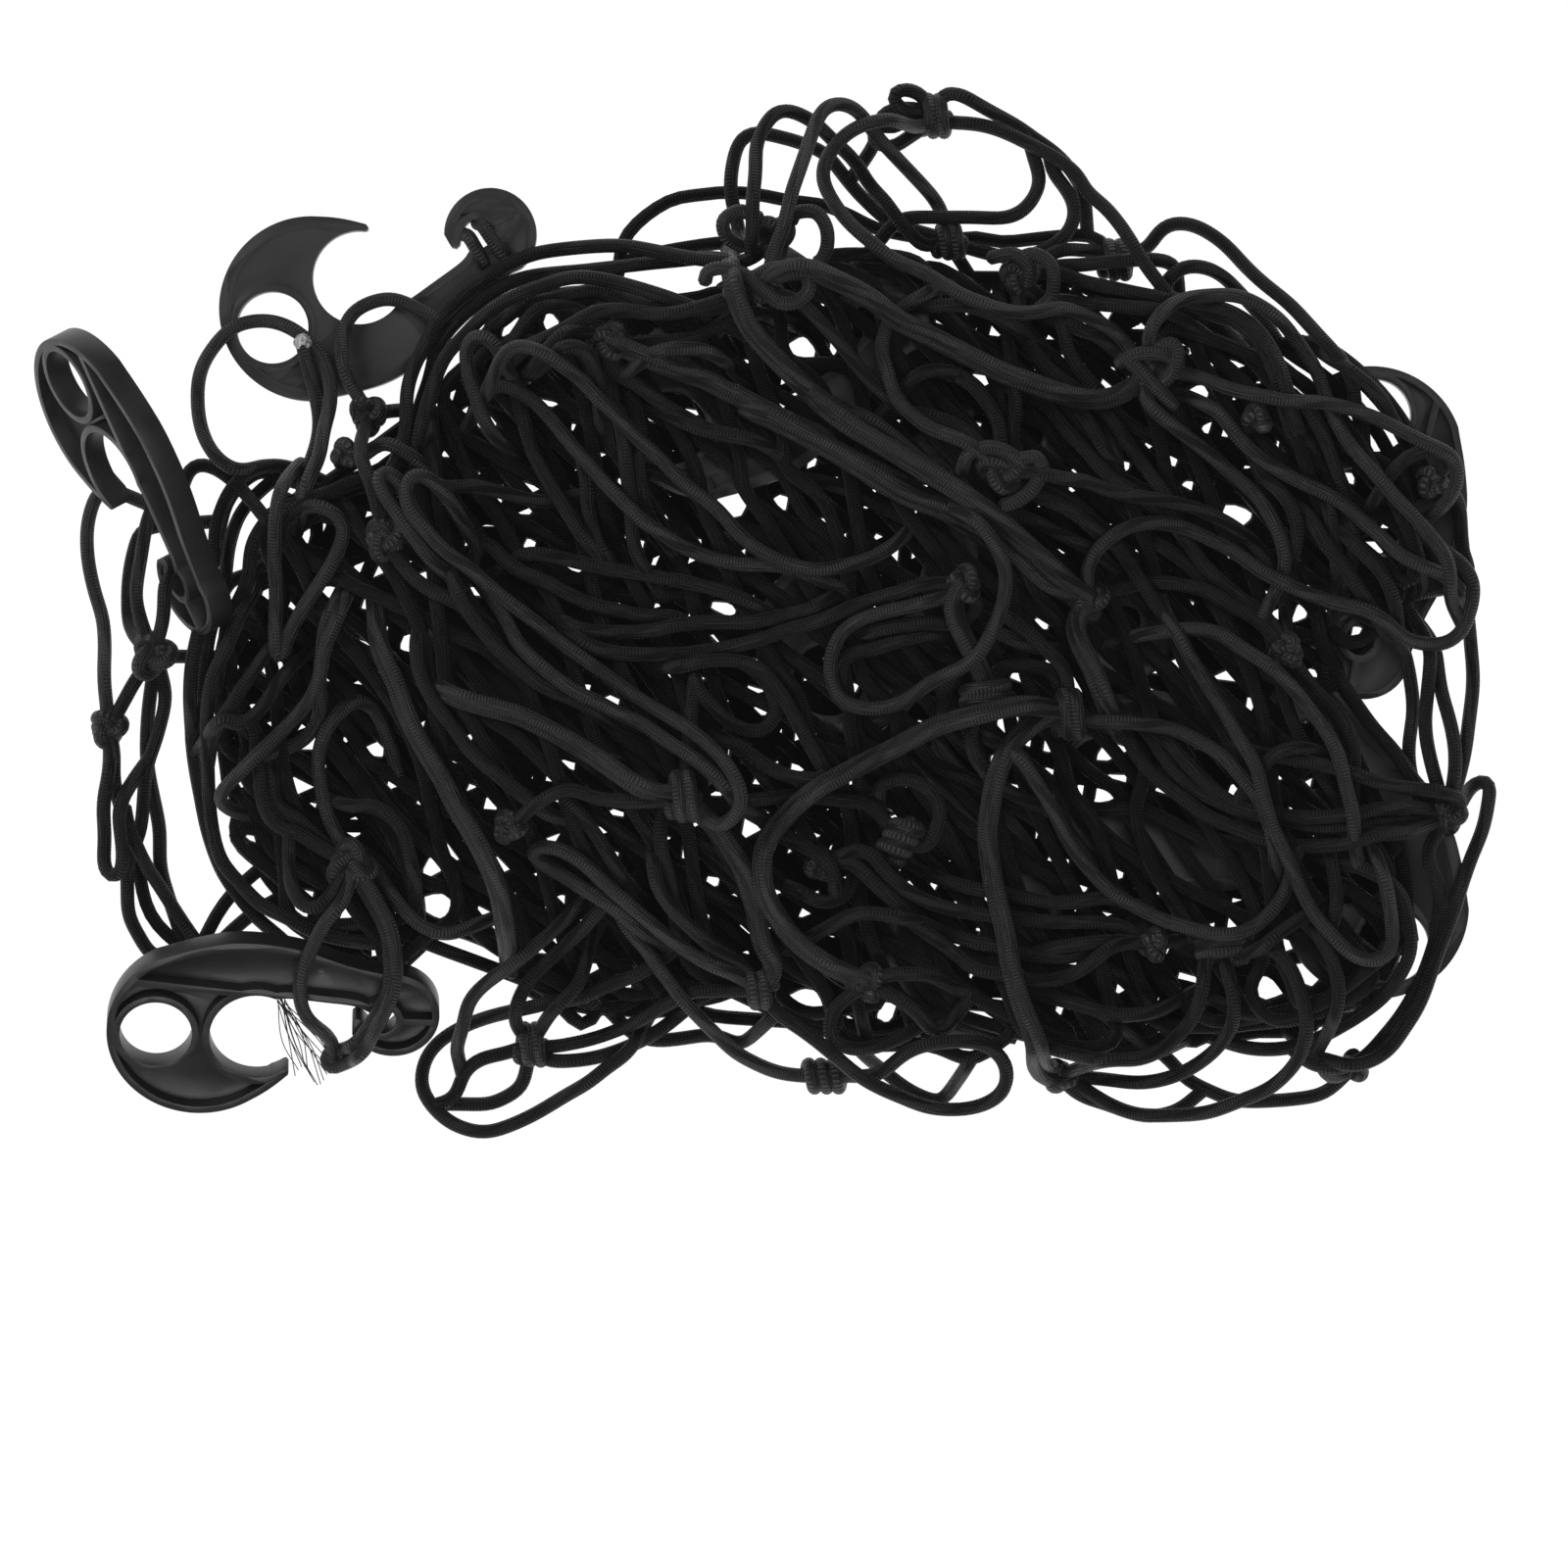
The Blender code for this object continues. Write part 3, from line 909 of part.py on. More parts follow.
def make_net(strands, knots, links):
    """Join the strands and knots into one solid."""
    cord = material("cord", (0.012, 0.012, 0.013), 0.62)
    kept = joined_to_most(links)
    meshes = []
    for group, line, paired in strands:
        if kept[group]:
            wide = TUBE_WIDE + (PAIR_PITCH / 2 if paired else 0)
            meshes.append(tube_mesh(line, wide))
    for x, y, z, group, (_, _, heading, length, radius, _) in knots:
        if kept[group]:
            meshes.append(knot_mesh(x, y, z, heading, length, radius))
    net = place_object("net", meshes[0], cord)
    parts = bpy.data.collections.new("net_parts")
    bpy.context.scene.collection.children.link(parts)
    for number, mesh in enumerate(meshes[1:]):
        piece = bpy.data.objects.new(f"net_part_{number}", mesh)
        piece.hide_render = True
        piece.display_type = "WIRE"
        parts.objects.link(piece)
    join = net.modifiers.new("joined", "BOOLEAN")
    join.operation = "UNION"
    join.operand_type = "COLLECTION"
    join.collection = parts
    join.solver = "MANIFOLD"


def build():
    for old in list(bpy.data.objects):
        bpy.data.objects.remove(old)
    strands, knots, hooks, links = lay_heap()
    make_hooks(hooks)
    make_net(strands, knots, links)


build()
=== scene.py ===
# %% [markdown]
# # A cargo net in a heap
#
# The real thing is one long elastic cord, about 4.5 mm thick, knotted into square meshes, with flat black
# hooks that slip over a rail. Nobody folded it: it was dropped, and it lies as it fell. This lesson lays that
# heap cord by cord, ties its knots, cuts its hooks, and gives each surface the finish that it has on the real
# net, with the shade deep in the heap painted into the lower cords' colour. Lengths are in millimetres until
# a mesh is made, because that is how cord and hooks are measured.

import math

import bmesh
import bpy
import numpy as np
from mathutils import Matrix, Vector


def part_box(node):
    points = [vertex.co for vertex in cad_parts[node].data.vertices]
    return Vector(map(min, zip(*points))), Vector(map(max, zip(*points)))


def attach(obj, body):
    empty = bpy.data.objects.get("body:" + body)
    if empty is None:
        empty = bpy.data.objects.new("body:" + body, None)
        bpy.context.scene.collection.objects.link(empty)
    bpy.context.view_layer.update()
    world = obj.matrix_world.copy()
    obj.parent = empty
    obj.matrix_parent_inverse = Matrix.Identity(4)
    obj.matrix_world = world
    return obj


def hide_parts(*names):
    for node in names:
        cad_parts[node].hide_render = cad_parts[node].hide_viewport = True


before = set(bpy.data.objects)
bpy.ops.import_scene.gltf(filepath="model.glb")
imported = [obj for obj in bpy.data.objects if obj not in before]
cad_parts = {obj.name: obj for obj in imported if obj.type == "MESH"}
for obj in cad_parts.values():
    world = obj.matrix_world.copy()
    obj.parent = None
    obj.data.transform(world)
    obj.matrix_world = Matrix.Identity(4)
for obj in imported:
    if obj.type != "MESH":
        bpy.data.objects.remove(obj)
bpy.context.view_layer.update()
MM = 0.001
print("The frame holds", len(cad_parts), "nodes")

# %% [markdown]
# ## Where the camera stands
#
# The net was seen from straight above, from far off, so a long lens high over the heap gives the same view:
# the outline stays true and tall parts hardly lean. The picture's middle is below the heap's middle.

# %% Camera
VIEW_HEIGHT = 3.03          # metres over the surface
VIEW_MIDDLE = (0.0058, -0.0546)
PICTURE_WIDTH = 0.4923      # metres that the picture spans at the heap's mid height
HEAP_MIDDLE = 0.03
SENSOR = 36.0

camera = bpy.data.objects.new("camera", bpy.data.cameras.new("camera"))
camera.location = (*VIEW_MIDDLE, VIEW_HEIGHT)
camera.data.sensor_width = SENSOR
camera.data.lens = SENSOR * (VIEW_HEIGHT - HEAP_MIDDLE) / PICTURE_WIDTH
camera.data.clip_end = 20
bpy.context.scene.collection.objects.link(camera)
bpy.context.scene.camera = camera
print("Lens", round(camera.data.lens), "mm")

# %% [markdown]
# ## Surface and light
#
# The picture has a white ground with no shadow. A surface that glows evenly gives that, and it also lights
# the cords from below through the gaps, as white paper does. Black cord shows its shape only by what it
# reflects, so the light is broad and soft: a pale world and three large lamps, to the left, overhead and in
# front.

# %% Surface
FLOOR_SIZE = 6.0            # metres
GROUND_DROP = 0.0004        # metres that the ground lies below the net, so that they don't touch
GROUND_LIGHT = 1.03
WORLD_LIGHT = 0.16


def new_material(name):
    """An empty node material; gives back the material and its node tree."""
    made = bpy.data.materials.new(name)
    made.use_nodes = True
    made.node_tree.nodes.clear()
    return made, made.node_tree


scene = bpy.context.scene
scene.view_settings.view_transform = "Standard"
world = bpy.data.worlds.new("studio")
world.use_nodes = True
world.node_tree.nodes["Background"].inputs["Color"].default_value = (1, 1, 1, 1)
world.node_tree.nodes["Background"].inputs["Strength"].default_value = WORLD_LIGHT
scene.world = world

paper, tree = new_material("white_ground")
glow = tree.nodes.new("ShaderNodeEmission")
glow.inputs["Strength"].default_value = GROUND_LIGHT
ground_out = tree.nodes.new("ShaderNodeOutputMaterial")
tree.links.new(glow.outputs["Emission"], ground_out.inputs["Surface"])
half = FLOOR_SIZE / 2
floor_mesh = bpy.data.meshes.new("ground")
corners = [(-half, -half, 0), (half, -half, 0), (half, half, 0), (-half, half, 0)]
floor_mesh.from_pydata(corners, [], [(0, 1, 2, 3)])
floor_mesh.materials.append(paper)
ground = bpy.data.objects.new("ground", floor_mesh)
ground.location.z = -GROUND_DROP
scene.collection.objects.link(ground)
print("The ground is", FLOOR_SIZE, "m wide")

# %% Lamps
LAMPS = [                   # name, place in metres, width in metres, watts
    ("left_light", (-1.1, 0.7, 1.1), 0.8, 10.0),
    ("top_light", (0.5, 0.3, 2.0), 1.0, 6.0),
    ("front_light", (-0.2, -1.2, 1.7), 0.8, 12.0),
]

for name, place, width, watts in LAMPS:
    lamp = bpy.data.lights.new(name, "AREA")
    lamp.size = width
    lamp.energy = watts
    holder = bpy.data.objects.new(name, lamp)
    holder.location = place
    holder.rotation_euler = (-Vector(place)).to_track_quat("-Z", "Y").to_euler()
    scene.collection.objects.link(holder)
print("Lamps:", ", ".join(row[0] for row in LAMPS))

# %% [markdown]
# ## Where everything lies
#
# A heap has no formula, but it does have an order: a cord bends over what was there before it. So each cord
# is one short row of points seen from above, with a layer. The heights aren't written down. They follow from
# the order in which the rows are laid, as they did when the net was dropped.

# %% Sizes
CORD_RADIUS = 2.25
CORD_GAP = 0.4              # air between a cord and the one that it lies on
print("Cord", 2 * CORD_RADIUS, "mm thick")

# %% Hooks and knots: where they lie
# Hooks: name, head centre x and y, heading, roll about the long axis, layer
HOOKS = [
    ("hook_1", -143.7, 95.8, 22.6, 0, 0),
    ("hook_2", -209.5, 60.5, -60.6, 244, 0),
    ("hook_3", -178.5, -131.0, 5.0, 208, 6.5),
    ("hook_4", -18.0, 64.0, 27.0, 0, 2.5),
    ("hook_5", -77.0, -8.0, -35.0, -35, 1.5),
    ("hook_6", 66.0, -107.0, 110.0, 8, 1.5),
    ("hook_7", 120.0, -54.0, -15.0, 0, 1.5),
    ("hook_8", 191.0, 48.0, -92.0, 180, 1.5),
    ("hook_9", 84.0, 46.0, -60.0, 0, 1.5),
    ("hook_10", 192.0, -93.0, 110.0, 0, 1.5),
    ("hook_11", 26.0, -9.5, 60.0, 0, 1.5),
]

# Knots: x, y, heading of the wraps' axis, length along it, radius, layer
KNOTS = [
    (-125.5, 62, 90, 15, 6.0, 6), (-208, -37, 80, 14, 6.5, 5), (-193, -14, 60, 18, 7.5, 6),
    (-130, -80, 40, 18, 8.0, 6), (-132, 49, 40, 10, 4.5, 6), (3, 116, 90, 18, 6.5, 6),
    (53.3, 156.8, 0, 9, 7.0, 5), (57.9, 117, 0, 9, 6.0, 6), (80, 105, 90, 14, 6.5, 6),
    (-2.6, 99.6, 10, 22, 5.5, 7), (-49, 83.5, 0, 14, 6.5, 6), (-119, 22, 80, 16, 6.0, 6),
    (-25.6, -58.4, 0, 9, 8.0, 7), (62, 7.9, 10, 12, 6.5, 6), (68.6, -27, 90, 9, 8.0, 7),
    (95.2, -32.7, 0, 9, 8.0, 7), (101, 3, -30, 16, 7.0, 7), (73.6, 42.6, -20, 18, 7.0, 7),
    (122, 75, 80, 14, 7.5, 7), (110.6, 111.3, 0, 8, 6.5, 4), (214, -65, 90, 12, 6.5, 5),
    (144, -105.7, 90, 10, 9.0, 5), (122, -105, 0, 10, 6.0, 5), (31.6, -116.8, 0, 14, 6.5, 6),
    (19, -147, 90, 11, 7.0, 5), (-1.6, -119.5, 90, 12, 5.5, 6), (-74.3, -137, 0, 10, 7.0, 5),
    (-80, -68, 60, 12, 5.5, 5), (42, -72, 60, 16, 5.5, 6), (17, -80, 30, 10, 6.0, 5),
    (163, -13, 20, 12, 6.0, 5), (154, 60, 30, 10, 5.5, 5), (209, 40, 60, 10, 5.5, 5),
    (186, -144, 20, 10, 5.5, 4), (93, -147, 60, 12, 6.0, 5), (-137, -142, -50, 10, 5.5, 4),
]
# One letter a knot, in the same order: T a tight lump, O an open knot, B wraps round a bundle,
# W such wraps turned across, - a place where cords only meet
KNOT_KINDS = "TTOTTOBBOO" "TTBTBBOOOB" "TBTOWWBTBT" "OTOTT-"
print(len(HOOKS), "hooks and", len(KNOTS), "knots")

# %% Rows of cord
# Each row: layer (9 on top), kind (s one cord, p a pair, one half over the other, b a pair that turns back at
# its far end), then the points x,y. A capital letter marks a low row that shows at the heap's edge. The last
# seven rows only fill the heap's edges. An indented line carries its row on.
ROUTES = """
9 s -160,46 -166,44 -173,48 -178,56 -180,66 -179,76 -174,84 -168,90 -159,92 -151,90 -144,85 -139,78
   -137,70 -137,64 -139,56 -140,48 -144,39 -146,32
8.5 s -146,84 -144,75 -142,67 -141,60 -142,52 -145,44
9 s -125,62 -130,70 -133,76 -134,83 -133,90 -130,95 -124,98 -118,99 -113,97
6 s -125,62 -127,52 -125,44 -122,37 -119,22
7 s -125,62 -114,64 -107,63
8 s -210,40 -213,35 -215,27 -215,19 -214,12 -212,4 -210,-2 -209,-12 -209,-20 -208,-37
7 S -194,34 -196,27 -197,18 -198,10 -198,2 -193,-14
6 s -198,27 -201,16 -202,8 -202,-1 -201,-6 -193,-14
7 s -183,13 -188,11 -189,6 -189,-2 -193,-14
5 S -193,-14 -198,-20 -202,-27 -208,-37
6 S -208,-37 -206,-45 -206,-53 -204,-62 -200,-71 -196,-80 -191,-88 -186,-96 -180,-105 -176,-112
6 s -208,-37 -207,-50 -209,-60 -209,-72 -209.5,-79 -208.6,-83 -206,-84.8 -203.5,-83 -202.8,-79 -203,-73
   -204,-62 -199,-52
5 s -193,-14 -195,-26 -196,-37 -196,-48 -194,-59 -192,-69 -192,-80 -190,-88 -186,-100
5 s -193,-14 -190,-26 -191,-33 -193,-41 -196,-50 -197,-61 -198,-70 -202,-80 -202,-88 -202,-96
   -199,-102 -195,-109
4 s -203,-62 -201,-72 -199,-79 -198,-86 -196,-94 -193,-99 -189,-103 -184,-107 -178,-112
4 s -162,-95 -169,-101 -174,-106 -178,-114
4 s -169,-89 -174,-96 -177,-102 -182,-112
6 s -183,46 -178,47 -172,44 -167,40 -160,32
6 s -174,26 -171,35 -166,42 -159,46 -152,46 -146,44
8 s -146,48 -150,43 -153,34 -154,20 -154,5 -154,-10 -153,-17 -150,-8 -145,1 -138,11 -133,21
   -132,27 -136,31 -142,33 -148,31
5 S -170,10 -177,-5 -179,-16 -181,-27 -182,-37 -181,-48 -179,-59 -177,-69 -174,-78 -171,-84
   -166,-91 -161,-97 -154,-103 -149,-108 -137,-120
6 S -162,4 -167,-5 -169,-12 -173,-19 -175,-27 -176,-37 -176,-48 -176,-59 -175,-69 -172,-79
   -166,-86 -159,-93 -150,-97 -143,-101 -132,-104
7 s -152,-6 -158,-15 -162,-21 -166,-27 -169,-32 -173,-37 -175,-43
7 s -176,-40 -170,-33 -168,-36 -164,-36 -160,-33 -156,-28 -153,-22 -146,-14
9 s -166,-64 -172,-61 -172,-58 -166,-52 -160,-46 -154,-40 -147,-33 -142,-27 -139,-19 -138,-12
   -135,-5 -131,6
8 s -154,-44 -147,-42 -142,-37 -140,-31 -140,-21 -139,-14 -138,-5 -134,5
8 s -130,-80 -133,-74 -138,-65 -140,-56 -141,-48 -139,-39 -134,-32 -129,-28 -124,-30 -120,-38
   -117,-48
6 s -160,-46 -159,-51 -158,-61 -154,-68 -147,-70 -141,-74 -130,-80
5 s -156,-47 -155,-53 -154,-62 -148,-65 -143,-70 -137,-75 -130,-80
6 s -150,-76 -149,-86 -145,-93 -139,-93 -130,-80
8 s -130,-80 -132,-91 -138,-98 -143,-108 -146,-116 -146,-124 -143,-130 -137,-135 -137,-142
9 b -130,-80 -126,-86 -122,-93 -118,-101 -117,-110 -117,-118 -121,-127 -125,-133 -128,-139
8 s -130,-80 -124,-79 -120,-86 -113,-95 -107,-100 -100,-102 -94,-100 -86,-97
7 s -136,-60 -129,-62 -124,-61 -117,-65 -113,-71 -111,-80 -110,-86
8 p -122,-5 -120,-14 -116,-22 -112,-33 -107,-43 -101,-53 -97,-61 -92,-69 -88,-76 -85,-83 -83,-89
   -82,-96 -81,-103 -81,-109
7 s -108,-4 -109,-12 -108,-19 -106,-24 -102,-31 -98,-36 -93,-43 -87,-49 -82,-53 -76,-58 -71,-62
   -66,-65 -60,-66
9 s -94,26 -97,32 -101,37 -105,41 -110,42 -112,37 -111,31 -106,25 -100,18 -94,14 -87,8 -80,2
   -73,-3 -66,-9 -59,-14 -52,-19 -45,-24 -38,-29 -31,-33 -23,-38 -18,-42 -13,-47 -9,-53 -7,-59
   -8,-63 -11,-66 -15,-68 -25.6,-58.4
8 s -104,21 -107,26 -111,33 -113,39 -118,43 -121,42 -119,36 -114,29 -110,23 -104,15 -98,10
8 s -125,49 -120,53 -114,50 -109,47 -103,40
8 s -90,10 -85,3 -83,0 -80,-5 -77,-11 -72,-16 -66,-21 -59,-26 -52,-29 -45,-33 -38,-36 -31,-41
   -23,-46 -18,-50 -12,-56 -8,-62
7 s -98,12 -96,5 -92,-2 -87,-8 -82,-14 -76,-19 -70,-24 -63,-27 -56,-30 -49,-36
6 S -119,22 -113,13 -109,9 -103,5 -98,3 -93,0 -86,-5
8 p -103,-24 -98,-27 -92,-29 -85,-31 -77,-33 -71,-36 -65,-39 -58,-43 -50,-48 -43,-53 -36,-57
   -25.6,-58.4
7 S -80,-68 -70,-60 -61,-56 -53,-59 -44,-60 -35,-60 -25.6,-58.4
6 s -92,14 -90,20 -87,22 -85,19 -80,14 -75,11 -67,8 -60,4 -53,1 -46,0 -39,-2 -28,-2 -20,-8
5 s -84,12 -77,17 -75,18 -67,17 -59,15 -50,13 -42,12 -32,10 -22,8 -14,6 -6,3 2,-2
4 s -70,14 -63,11 -56,9 -50,6 -43,5 -36,4 -28,5 -20,5 -10,9
6 s -66,-2 -59,-6 -52,-7 -45,-7 -38,-7 -29,-5 -21,-4 -12,-4 -4,-4 5,-2 14,0 24,6
7 S -64,-4 -56,-11 -50,-13 -43,-14 -36,-14 -28,-14 -20,-13 -12,-12 0,-9 8,-6 16,-4 25,0 33,3
   41,5 50,8 62,8
6 S 3,116 -6,109 -21,110 -35,113 -45,115 -57,115 -68,114 -76,112 -84,108 -92,103 -99,97 -104,91
   -108,83 -111,77 -113,69 -113,59 -114,52 -119,40
5 s -2.6,99.6 -12,110 -30,110 -44,109 -57,108 -68,107 -78,105 -86,101 -94,95 -100,89 -104,83
   -106,74 -109,65 -111,56 -116,44
6 s -2.6,99.6 -18,93 -27,96 -39,100 -50,103 -61,104 -71,101 -81,97 -89,92 -95,86 -101,80 -104,73
   -107,63 -109,54 -110,46
4 S -46,110 -46,116 -42,122 -36,127 -29,131 -21,132 -12,133 -1,132 8,130 18,129 28,125 36,121
   57.9,117
4 s -40,112 -33,114 -21,116 -12,117 3,116
9 s -87,70 -83,76 -81,80 -77,82 -73,81 -68,79 -63,75 -57,71 -52,65 -46,60 -41,54 -35,49 -30,44
   -24,38 -17,33 -12,28 -9,24 -3,19 4,15 11,13 18,12 26,14 33,16 40,20 47,27
8 s -92,62 -88,68 -86,71 -82,71 -76,68 -71,64 -65,57 -61,52 -55,45 -50,39 -45,34 -39,28 -33,24
   -25,19 -17,16 -8,14 0,14 8,13 20,8
8 s -80,50 -85,54 -87,57 -90,63 -92,71 -94,77 -94,83 -92,86 -88,86 -85,84 -83,80 -79,72
7 s -76,74 -68,80 -64,85 -59,87 -54,86 -49,83.5
8 p -49,83.5 -41,80 -34,77 -26,74 -19,72 -12,68 -7,66 0,62 8,58 16,53 25,48 33,42
8 s -40,76 -34,80 -25,81 -17,80 -9,74
7 s -70,76 -64,81 -60,82 -55,80 -53,74 -52,69 -52,60
7 S -49,83.5 -47,73 -41,71 -35,66 -30,63 -23,59 -15,55 -6,54 2,50
7 s -82,76 -79,69 -76,59 -73,49 -68,40 -63,32 -58,24 -52,17
6 s -58,48 -56,40 -56,33 -54,25 -52,19 -46,12
6 s -49,83.5 -48,66 -45,57 -44,49 -43,40 -42,32 -41,19 -36,10
5 s -44,72 -41,64 -39,56 -40,47 -39,38 -37,30 -32,22
6 s -84,74 -82,81 -77,87 -73,93 -69,95 -60,95
6 s -80,78 -75,82 -69,84 -61,88 -52,93 -41,93 -28,92 -2.6,99.6
5 s -82,92 -76,96 -70,97 -61,99 -52,100 -44,97 -34,95 -21,93 -10,88
5 s -36,84 -28,84 -21,85 -14,89 -6,93 2,92
5 s -108,42 -100,38 -92,39 -83,37 -75,35 -70,34 -62,36
7 s -32,62 -25,58 -20,56 -12,54 -4,53 4,49
6 S 3,116 -7,114 -9,124 -11,131 -11,138 -10,144 -8,150 -3,152 2,151 10,149 15,147 18,146 21,143
   28,134 35,127 40,123 57.9,117
7 S 3,116 -5,109 -4,117 -4,127 -3,137 -3,145 0,152 3,156 7,157 12,155 16,153 21,148 28,142
   33,134 38,129 41,124 50,114
8 s -2.6,99.6 1,104 3,112 6,120 8,129 11,138 14,147 16,153 19,158 24,159 29,157 32,153 36,148
   44,140 50,134 55,128 57.9,117
7 s 53.3,156.8 50,163 45,165 40,164 40,161 41,159 45,158 53.3,156.8
6 s 53.3,156.8 50,159 44,159 38,158 35,154 36,150
5 s 53.3,156.8 56,164 62,163 67,160 75,156 81,153 85,150 91,146 96,141 101,133
6 S 53.3,156.8 55,155 66,154 74,152 83,148 91,144 99,138 101,133 107,128 113,120 117,113 121,107
   126,101 128,98 132,92
6 s 53.3,156.8 50,153 45,150 40,146 36,147 33,150 35,154 40,152
9 s 53.3,156.8 48,152 41,154 33,153 26,150 21,145 18,139 18,134 21,128 25,122 30,117 35,113
   40,109 48,106 55,102 61,98 69,95 76,93 85,93 92,95 99,93 106,90 112,86 116,80 122,75
6 s 84,148 85,143 87,138 86,133 82,127 76,124 68,124 58,124 50,124 43,124 39,121 36,117 30,110
5 s 91,139 95,134 98,128 97,122 93,117 85,113 77,112 68,114 61,116 57.9,117
9 p -2.6,99.6 6,105 14,105 21,102 28,99 35,95 41,90 50,86 58,82 66,78 74,74 83,71 91,68 101,66
   110,67 122,75
8 p -11,107 -10,100 -8,93 -5,87 0,81 5,76 10,71 16,66 23,61 30,56 36,52 45,47 55,41
7 s 6,97 11,95 16,90 21,85 26,79 31,73 36,68 44,62
7 s 40,96 48,94 55,95 63,95 70,93 76,90 84,84
5 s 37,62 44,70 48,74 54,75 60,74 65,71 72,64
6 s 58,74 64,71 69,65 73,58 73.6,42.6
6 s 42,62 50,61 56,59 63,56 67,51 73.6,42.6
8 s 57,102 49,98 44,95 39,91 37,86 36,80 38,75 40,67 45,61 51,56 59,53 65,50 73.6,42.6
6 s 80,105 93,92 94,85 97,78 103,71 110,64
6 s 80,105 80,90 82,85 86,79 91,74 95,71 104,66
5 s 80,105 92,114 100,114 108,114 110.6,111.3
5 s 80,105 92,109 99,109 107,110 122,111 130,110
6 s 84,106 92,107 99,104 108,102 117,100 126,98 134,94
6 s 94,98 101,97 110,96 119,95 126,94 134,90
7 s 90,92 97,89 106,86 111,81 122,75
4 S 57.9,117 66,119 74,117 84,118 94,119 104,119 110.6,111.3
9 p -6,63 2,59 16,52 28,45 38,39 47,34 56,31 64,26
8.5 s 0,64 8,59 21,51 33,45 45,39 55,33 63,28 72,22 81,14 89,7 101,3
9 p 18,63 26,57 38,50 49,43 59,37 68,31 78,23 86,16 94,9 101,3
8 s 26,62 33,59 41,53 50,45 58,39 66,34
9 s 122,75 129,75 137,73 146,69 155,67 165,65 174,65 183,63 192,60 201,55 209,51 214,49 217,44
   216,38 213,33 206,28
7 s 216,47 209,50 203,49 197,44 194,40 190,32
8 s 122,75 119,66 126,59 133,54 141,48 148,42 155,35 159,28 162,21 163,15 162,10 158,2
8.5 s 122,75 120,84 121,89 126,95 132,98 140,99 148,99 155,96 162,91 167,85 172,78 175,71 176,66
   179,59 182,53 186,48 192,41 197,35 203,29 208,23 212,18 214,12 214,4
5 S 110.6,111.3 121,115 124,120 128,123 134,123 139,121 146,116 152,109 158,103 165,97 171,90
   176,84 182,77 185,70 185,65 188,58
5 s 122,97 126,103 130,108 136,109 141,108 146,105 150,101 156,95
6 s 178,79 184,75 189,71 194,66 197,60 202,52
5 s 209,40 217,37 219,30 219,24 220,17 220,8
6 p 134,96 141,95 148,92 155,86 159,79 162,70 164,62
8 s 136,66 143,61 146,56 152,50 159,45 168,40 175,37 183,32 188,27 194,22 197,18 204,14 212,11
   218,6 221,-1
6 s 168,66 171,62 175,55 178,48 180,42 184,34
5 s 176,36 177,30 178,24 179,18 180,9
5 s 180,31 183,27 185,22 184,15 183,11 181,4
6 s 165,34 171,29 175,21 181,14 186,6 190,1 194,-6
6 s 181,24 186,19 192,13 196,6 198,-2 199,-9
6 s 156,42 161,38 165,32 167,26 166,19 164,11 163,-13
5 S 84,68 90,63 94,57 99,52 104,46 110,40 115,38 122,33
5 s 97,66 100,61 105,53 110,46
6 s 103,66 107,62 113,54 118,47 123,40 126,36 130,29
7 S 73.6,42.6 86,42 92,40 99,40 106,37 116,35 125,34 134,32 142,29 149,25 155,20 159,14 163,6
8 s 101,3 101,14 105,20 110,24 117,27 126,27 134,25 142,21 149,17 155,12 163,8 170,5 179,2
   188,0 195,-4 200,-9 209,-11 215,-10 219,-6 221,0 222,8 219,14 214,18 208,22
6 s 85,38 92,35 99,31 106,25 112,18 117,10 122,3 126,-3 131,-9
5 s 118,24 124,21 131,16 137,10 143,4
5 s 128,28 132,23 136,16 143,9 150,3 157,-2 163,-13
5 s 116,8 124,9 131,8 139,6 146,1 154,-3 163,-13
6 s 70,30 78,29 84,28 91,24 98,21 103,19 109,14
6 s 75,40 82,37 89,34 97,30 104,24 111,20
9 s 62,8 59,5 50,2 41,0 33,-2 26,-5 22,-10 20,-17 21,-24 24,-29 30,-31 36,-31 43,-29 50,-24
   55,-21 60,-19 65,-16 68,-12 71,-6 74,1 75,9 74,15 70,22 67,26 60,31
7 s 24,-9 30,-8 36,-6 44,-5 51,-4 59,-5 68,0
6 s 24,-26 23,-20 24,-15 28,-13 33,-13 41,-10 50,-8 58,-8
8 p 68.6,-27 68,-21 64,-13 60,-5 58,2
6 s 53,-36 55,-29 56,-25 59,-22 63,-18 70,-14
9 p 95.2,-32.7 83,-30 74,-31 66,-33 58,-35 50,-38 41,-43 33,-47 25,-51 16,-56 10,-61 5,-66 1,-71
   -1,-76 -1,-83 0,-89 3,-95 7,-101 12,-106 18,-110 23,-113 31.6,-116.8
8 b 95.2,-32.7 86,-34 81,-38 76,-43 73,-49 71,-56 70,-63 69,-70 70,-76 71,-84 73,-93 75,-101
   76,-109 78,-117 80,-124 83,-131 85,-137 86,-145
8 p 101,3 97,-4 98,-10 102,-18 105,-26 108,-33
7 s -25.6,-58.4 -22,-20 -22,-24 -17,-30 -12,-35 -6,-38 0,-38 3,-34 4,-30 1,-24 -2,-20 -8,-16
7 s -34,-18 -25,-18 -20,-16 -13,-16 -8,-16 -1,-19 4,-25 9,-33 12,-39 16,-46 19,-51 24,-58
7 s -14,-40 -8,-43 -1,-48 6,-52 14,-53 19,-53 28,-50
7 s 36,-64 35,-58 36,-54 42,-53 48,-54 53,-58 55,-63 54,-68 50,-76
7 s 68.6,-27 64,-37 64,-43 67,-49 73,-55 82,-60
6 s 68.6,-27 70,-35 74,-43 79,-47 83,-53 88,-59 94,-68 100,-76
6 s 70,0 75,-2 82,-7 88,-13 94,-19 95.2,-32.7
5 s 66,-4 72,-7 79,-10 85,-12 93,-12
